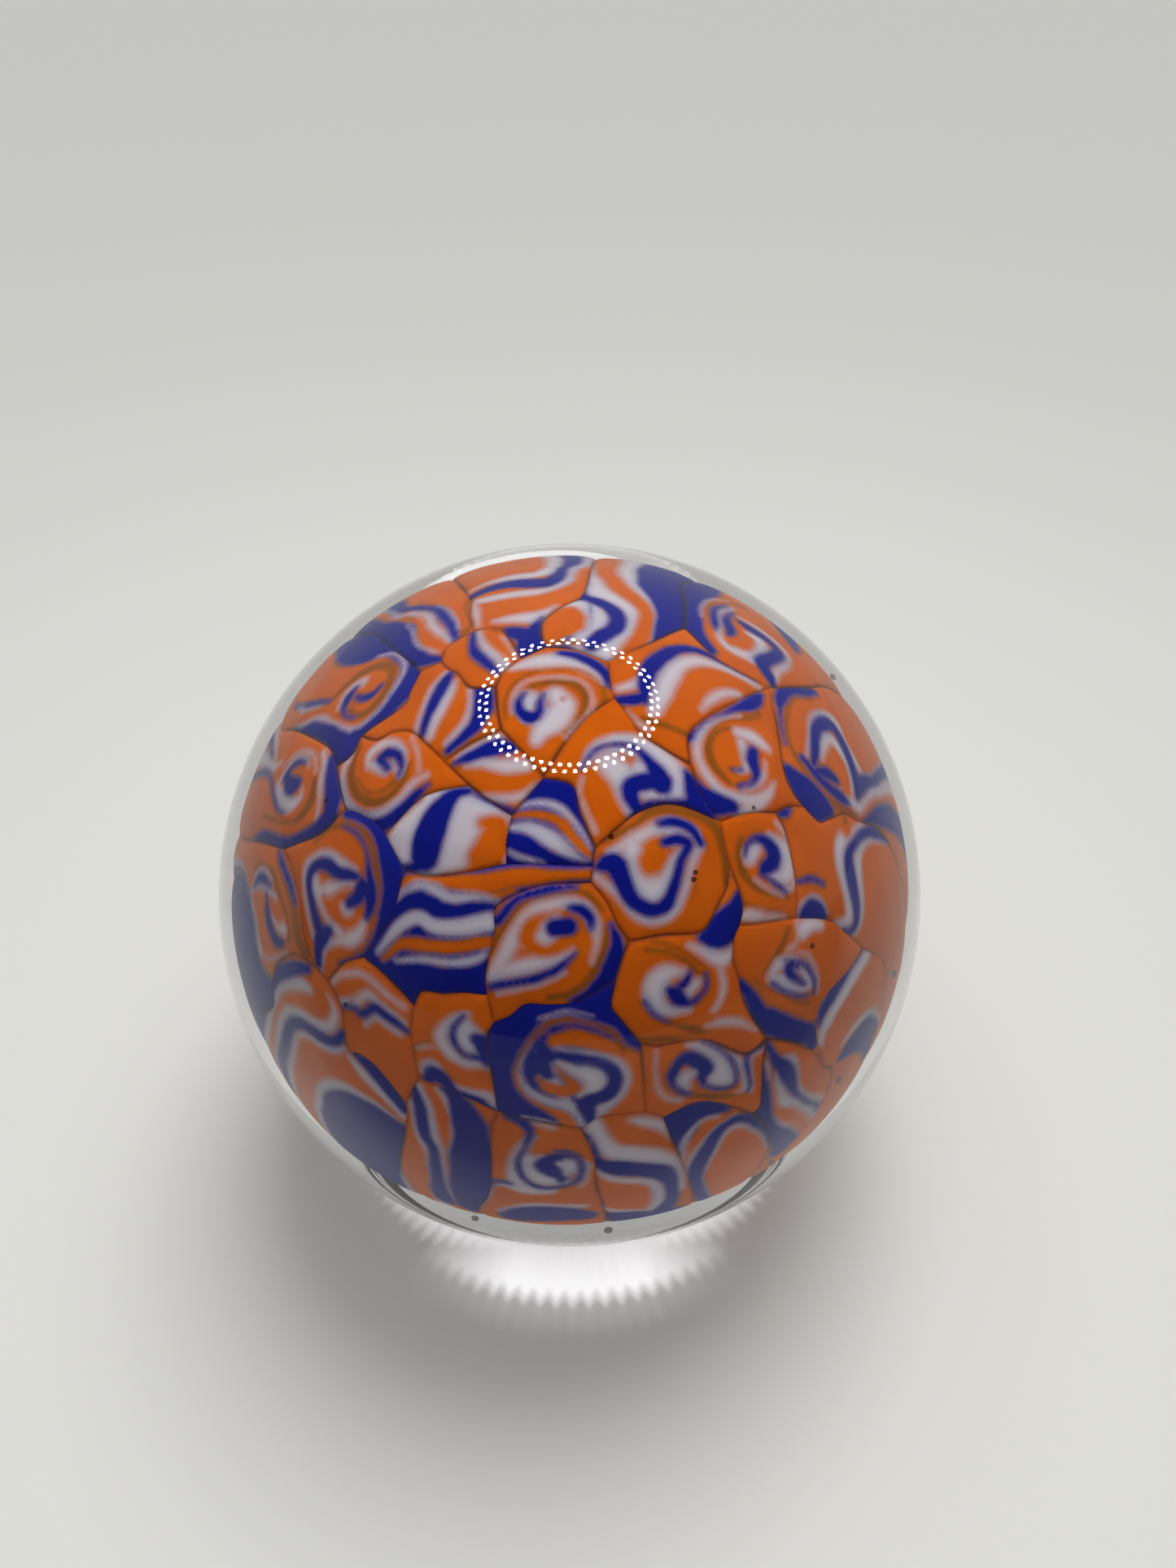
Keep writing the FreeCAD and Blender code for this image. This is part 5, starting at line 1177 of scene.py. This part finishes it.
def cane_glass():
    """The slices' coloured glass, from the fields painted on their meshes."""
    material, graph = new_material("cane_glass")
    ragged = graph.math("SUBTRACT", graph.noise(*RAGGED_NOISE), 0.5)
    tremble = graph.math("MULTIPLY", ragged, RAGGED_REACH)
    blue, white, brown = (graph.math("ADD", graph.attribute(name), tremble)
                          for name in ("blue", "white", "brown"))
    orange = graph.attribute("orange")

    rust = graph.ramp(blue, RUST_EDGE, -1.0, 1.0)
    colour = graph.mix_colour(graph.noise(*CLOUD_NOISE), ORANGE_DEEP, ORANGE)
    colour = graph.mix_colour(rust, colour, BROWN)
    colour = graph.mix_colour(graph.ramp(brown, BROWN_EDGE, -1.0, 1.0), colour, BROWN)
    milk = graph.mix_colour(graph.ramp(orange, NEAR_EDGE, -1.0, 1.5), WHITE, PINK)
    milk = graph.mix_colour(graph.ramp(blue, NEAR_EDGE, -1.0, 1.5), milk, LILAC)
    colour = graph.mix_colour(graph.ramp(white, WHITE_EDGE, -1.0, 1.0), colour, milk)
    deep = graph.ramp(blue, BLUE_DEPTH, -2.0, 1.0)
    colour = graph.mix_colour(graph.ramp(blue, BLUE_EDGE, -1.0, 1.0), colour, deep)

    # In some places the slices flowed together and the seam is hardly seen.
    seam = graph.ramp(graph.attribute("edge"), SEAM_EDGE, 0.0, 2.0)
    clear = graph.ramp(graph.noise(*PATCH_NOISE), SEAM_PATCHES, 0.0, 1.0)
    colour = graph.mix_colour(graph.math("MULTIPLY", seam, clear), colour, SEAM)
    shader = graph.add("ShaderNodeBsdfPrincipled", {
        "Base Color": colour, "Roughness": 0.5, "Specular IOR Level": 0.0})
    graph.finish("ShaderNodeOutputMaterial", shader)
    return material


def add_glass(graph, colour, ior):
    return graph.add("ShaderNodeBsdfPrincipled", {
        "Base Color": colour, "Roughness": 0.0, "IOR": ior, "Transmission Weight": 1.0})


def clear_glass():
    """Clear glass that bends light. A shadow ray can't be bent, so it is dimmed instead."""
    material, graph = new_material("clear_glass")
    slant = graph.add("ShaderNodeLayerWeight", {"Blend": 0.5}).outputs["Facing"]
    through = graph.add("ShaderNodeBsdfTransparent", {"Color": graph.ramp(slant, LIGHT_PASSED, 0.0, 1.0)})
    glass = add_glass(graph, (1.0, 1.0, 1.0), GLASS_IOR)
    shader = graph.mix_shader(graph.light_path("Is Shadow Ray"), glass, through)
    graph.finish("ShaderNodeOutputMaterial", shader)
    return material


def bubble_glass():
    """The trapped bubbles are so small that they read as little dark specks. Their dark brown tint is painted
    shade, in place of the dark rim that an air bubble shows by bending light.
    """
    material, graph = new_material("bubble")
    graph.finish("ShaderNodeOutputMaterial", add_glass(graph, BUBBLE_SHADE_TINT, BUBBLE_IOR))
    return material


def floor_material():
    """A plain pale floor, with painted light: a glow painted as emission under and in front of the ball,
    where the glass would gather light.
    """
    material, graph = new_material("pale_floor")
    split = graph.add("ShaderNodeSeparateXYZ", {0: graph.coordinates("Object")})
    across, back = split.outputs["X"], split.outputs["Y"]
    front = graph.math("MULTIPLY", back, -1.0)
    turn = graph.math("ARCTAN2", across, front)
    squares = graph.math("ADD", graph.math("MULTIPLY", across, across), graph.math("MULTIPLY", back, back))
    reach = graph.math("DIVIDE", graph.math("SQRT", squares), MM)
    teeth = graph.math("SINE", graph.math("MULTIPLY", turn, TEETH))
    reach = graph.math("ADD", reach, graph.math("MULTIPLY", teeth, TOOTH_REACH))
    sideways = graph.math("ABSOLUTE", turn)
    # Painted light: the bright crescent in front and the pool under the ball are emission painted on the
    # floor.
    painted_crescent = graph.math("MULTIPLY", graph.ramp(reach, PAINTED_CRESCENT_GLOW, 10.0, 45.0),
                          graph.ramp(sideways, PAINTED_CRESCENT_SPREAD, 0.0, 1.0))
    painted_pool = graph.math("MULTIPLY", graph.ramp(reach, PAINTED_POOL_GLOW, 10.0, 45.0),
                      graph.ramp(sideways, PAINTED_POOL_SPREAD, 0.0, math.pi))
    shader = graph.add("ShaderNodeBsdfPrincipled", {
        "Base Color": FLOOR_COLOUR, "Roughness": 0.7, "Specular IOR Level": 0.2,
        "Emission Color": PAINTED_GLOW_COLOUR, "Emission Strength": graph.math("MAXIMUM", painted_crescent, painted_pool)})
    # Painted shade: for glossy rays only, the near side of the table is made darker, as if whoever looks
    # stood over it.
    near = graph.ramp(graph.math("DIVIDE", front, MM), PAINTED_NEAR_SHADE, 0.0, 100.0)
    shade = graph.math("MULTIPLY", graph.light_path("Is Glossy Ray"), near)
    painted_dark = graph.add("ShaderNodeBsdfDiffuse", {"Color": BLACK})
    graph.finish("ShaderNodeOutputMaterial", graph.mix_shader(shade, shader, painted_dark))
    return material


def glow_material():
    material, graph = new_material("lamp_glow")
    graph.finish("ShaderNodeOutputMaterial", graph.add("ShaderNodeEmission", {"Strength": LAMP_STRENGTH}))
    return material


# ---------------------------------------------------------------------------------------
# The paperweight
# ---------------------------------------------------------------------------------------

def add_object(name, mesh, material):
    made = bpy.data.objects.new(name, mesh)
    bpy.context.scene.collection.objects.link(made)
    mesh.materials.append(material)
    return made


def build_slices(material):
    nodes = [name for name in sorted(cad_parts) if name.startswith("slice_")]
    loops = smooth_outlines({node: outline_of(node) for node in nodes})
    for node in nodes:
        piece = add_object("patterned_" + node, make_slice(node, loops[node]), material)
        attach(piece, "root")
        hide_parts(node)


def glass_profile():
    """(radius, height) down the outside of the ball, then over its eased edge to the flat."""
    edge_height = 0.0
    while math.sqrt(BALL_RADIUS ** 2 - (CENTRE_HEIGHT - edge_height) ** 2) > (
            BASE_FLAT_RADIUS + BASE_EDGE_SLOPE * edge_height):
        edge_height += EDGE_STEP
    lowest = math.acos((edge_height - CENTRE_HEIGHT) / BALL_RADIUS)
    profile = []
    for k in range(1, GLASS_RINGS + 1):
        polar = lowest * k / GLASS_RINGS
        profile.append((BALL_RADIUS * math.sin(polar), CENTRE_HEIGHT + BALL_RADIUS * math.cos(polar)))
    for share in (0.9, 0.7, 0.5, 0.3, 0.15, 0.05):
        profile.append((BASE_FLAT_RADIUS + BASE_EDGE_SLOPE * edge_height * share, edge_height * share ** 1.5))
    for share in (0.99, 0.9, 0.6, 0.3):
        profile.append((BASE_FLAT_RADIUS * share, 0.0))
    return profile


def build_glass(material):
    """The clear glass, casing and core in one: a ball with a ground base and an eased edge."""
    profile = glass_profile()
    points = [(0.0, 0.0, CENTRE_HEIGHT + BALL_RADIUS)]
    for radius, height in profile:
        for k in range(GLASS_SIDES):
            turn = 2 * math.pi * k / GLASS_SIDES
            points.append((radius * math.cos(turn), radius * math.sin(turn), height))
    points.append((0.0, 0.0, 0.0))
    last = 1 + (len(profile) - 1) * GLASS_SIDES
    faces = []
    for k in range(GLASS_SIDES):
        j = (k + 1) % GLASS_SIDES
        faces.append((0, 1 + k, 1 + j))
        for here in range(1, last, GLASS_SIDES):
            below = here + GLASS_SIDES
            faces.append((here + k, below + k, below + j, here + j))
        faces.append((last + k, len(points) - 1, last + j))
    mesh = bpy.data.meshes.new("clear_glass")
    mesh.from_pydata([Vector(p) * MM for p in points], [], faces)
    mesh.shade_smooth()
    glass = add_object("clear_glass_ball", mesh, material)
    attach(glass, "root")
    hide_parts("clear_casing", "clear_core")


def build_bubbles(material):
    """Small bubbles caught just over the slices."""
    bm = bmesh.new()
    for right, back, across in BUBBLES:
        place = map_to_direction((right, back)) * (SLICE_OUTER + BUBBLE_LIFT) + CENTRE
        made = bmesh.ops.create_icosphere(bm, subdivisions=3, radius=across / 2 * MM)
        bmesh.ops.translate(bm, verts=made["verts"], vec=Vector(place) * MM)
    mesh = bpy.data.meshes.new("bubbles")
    bm.to_mesh(mesh)
    bm.free()
    mesh.shade_smooth()
    bubbles = add_object("bubbles", mesh, material)
    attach(bubbles, "root")


# ---------------------------------------------------------------------------------------
# The stage
# ---------------------------------------------------------------------------------------

FLOOR_HALF = 3000.0

# Soft lights: name, place and target in mm, watts, and mm across.
SOFT_LIGHTS = (
    ("lamp", (0, LAMP_BACK, CENTRE_HEIGHT + LAMP_HEIGHT + 2), (0, 30, 0), 0.14, 165),
    ("low_front", (40, -420, 75), (0, 0, 30), 0.22, 200),
)
DAYLIGHT_STRENGTH = 1.5
DAYLIGHT_WIDTH = 35         # degrees
DAYLIGHT_WAY = (-0.16, -0.34, -1.0)

ROOM_COLOUR = (1.0, 1.0, 0.98)
ROOM_STRENGTH = 0.34
BACKDROP_EXTRA = 0.26
# The room that the glass mirrors: (cosine from the dark side, colour). The dark side is in front and above.
DARK_SIDE = (0.0, -0.70, 0.71)
MIRRORED_ROOM = ((-1.0, (0.55, 0.55, 0.53)), (0.0, (0.42, 0.42, 0.40)), (0.60, 0.07), (1.0, 0.02))


def point_along(thing, way):
    thing.rotation_mode = "QUATERNION"
    thing.rotation_quaternion = Vector(way).to_track_quat("-Z", "Y")


def build_floor():
    mesh = bpy.data.meshes.new("floor")
    half = FLOOR_HALF * MM
    corners = [(-half, -half, 0), (half, -half, 0), (half, half, 0), (-half, half, 0)]
    mesh.from_pydata(corners, [], [(0, 1, 2, 3)])
    add_object("floor", mesh, floor_material())


def build_lamp():
    """A ring lamp over the ball: two rings of small bright dots."""
    bm = bmesh.new()
    for ring, radius in enumerate((LAMP_RADIUS - LAMP_RING_OFFSET, LAMP_RADIUS + LAMP_RING_OFFSET)):
        for k in range(LAMP_DOTS):
            turn = 2 * math.pi * (k + 0.5 * ring) / LAMP_DOTS
            place = Vector((radius * math.sin(turn), LAMP_BACK + radius * math.cos(turn),
                            CENTRE_HEIGHT + LAMP_HEIGHT)) * MM
            made = bmesh.ops.create_circle(bm, cap_ends=True, segments=10, radius=LAMP_DOT_RADIUS * MM)
            bmesh.ops.translate(bm, verts=made["verts"], vec=place)
    mesh = bpy.data.meshes.new("lamp_dots")
    bm.to_mesh(mesh)
    bm.free()
    lamp = add_object("lamp_dots", mesh, glow_material())
    lamp.visible_diffuse = False
    lamp.visible_shadow = False


def build_lights():
    for name, place, target, watts, across in SOFT_LIGHTS:
        data = bpy.data.lights.new(name, "AREA")
        data.shape = "DISK"
        data.size = across * MM
        data.energy = watts
        light = bpy.data.objects.new(name, data)
        bpy.context.scene.collection.objects.link(light)
        light.location = Vector(place) * MM
        point_along(light, Vector(target) - Vector(place))
        light.visible_glossy = False
        light.visible_camera = False
    data = bpy.data.lights.new("soft_daylight", "SUN")
    data.energy = DAYLIGHT_STRENGTH
    data.angle = math.radians(DAYLIGHT_WIDTH)
    daylight = bpy.data.objects.new("soft_daylight", data)
    bpy.context.scene.collection.objects.link(daylight)
    point_along(daylight, DAYLIGHT_WAY)
    daylight.visible_glossy = False
    daylight.visible_transmission = False


def build_room():
    """Plain light from all round, and the darker room that the glass mirrors."""
    world = bpy.data.worlds.new("room")
    bpy.context.scene.world = world
    world.use_nodes = True
    graph = Graph(world.node_tree)
    towards = graph.add("ShaderNodeVectorMath", {0: graph.coordinates("Generated")})
    towards.operation = "DOT_PRODUCT"
    towards.inputs[1].default_value = DARK_SIDE
    mirrored = graph.add("ShaderNodeBackground", {
        "Color": graph.ramp(towards.outputs["Value"], MIRRORED_ROOM, -1.0, 1.0)})
    # The backdrop is seen paler than the light it gives, which keeps the shadow on the floor deep.
    backdrop = graph.math("MULTIPLY", graph.light_path("Is Camera Ray"), BACKDROP_EXTRA)
    room = graph.add("ShaderNodeBackground", {
        "Color": ROOM_COLOUR, "Strength": graph.math("ADD", backdrop, ROOM_STRENGTH)})
    shader = graph.mix_shader(graph.light_path("Is Glossy Ray"), room, mirrored)
    graph.finish("ShaderNodeOutputWorld", shader)


def build_camera():
    data = bpy.data.cameras.new("camera")
    data.sensor_fit = "AUTO"
    data.sensor_width = 36.0
    data.lens = CAMERA_LENS
    data.clip_start = 0.005
    camera = bpy.data.objects.new("camera", data)
    bpy.context.scene.collection.objects.link(camera)
    distance = CAMERA_DISTANCE * math.sqrt(0.5)
    camera.location = Vector((0.0, -distance, CENTRE_HEIGHT + distance)) * MM
    down, right = math.radians(CAMERA_DOWN), math.radians(CAMERA_RIGHT)
    point_along(camera, (math.sin(right) * math.cos(down), math.cos(right) * math.cos(down), -math.sin(down)))
    bpy.context.scene.camera = camera


build_slices(cane_glass())
build_glass(clear_glass())
build_bubbles(bubble_glass())
build_floor()
build_lamp()
build_lights()
build_room()
build_camera()

scene = bpy.context.scene
scene.view_settings.view_transform = "Standard"
scene.view_settings.look = "None"
scene.view_settings.exposure = 0.0
scene.view_settings.gamma = 1.0
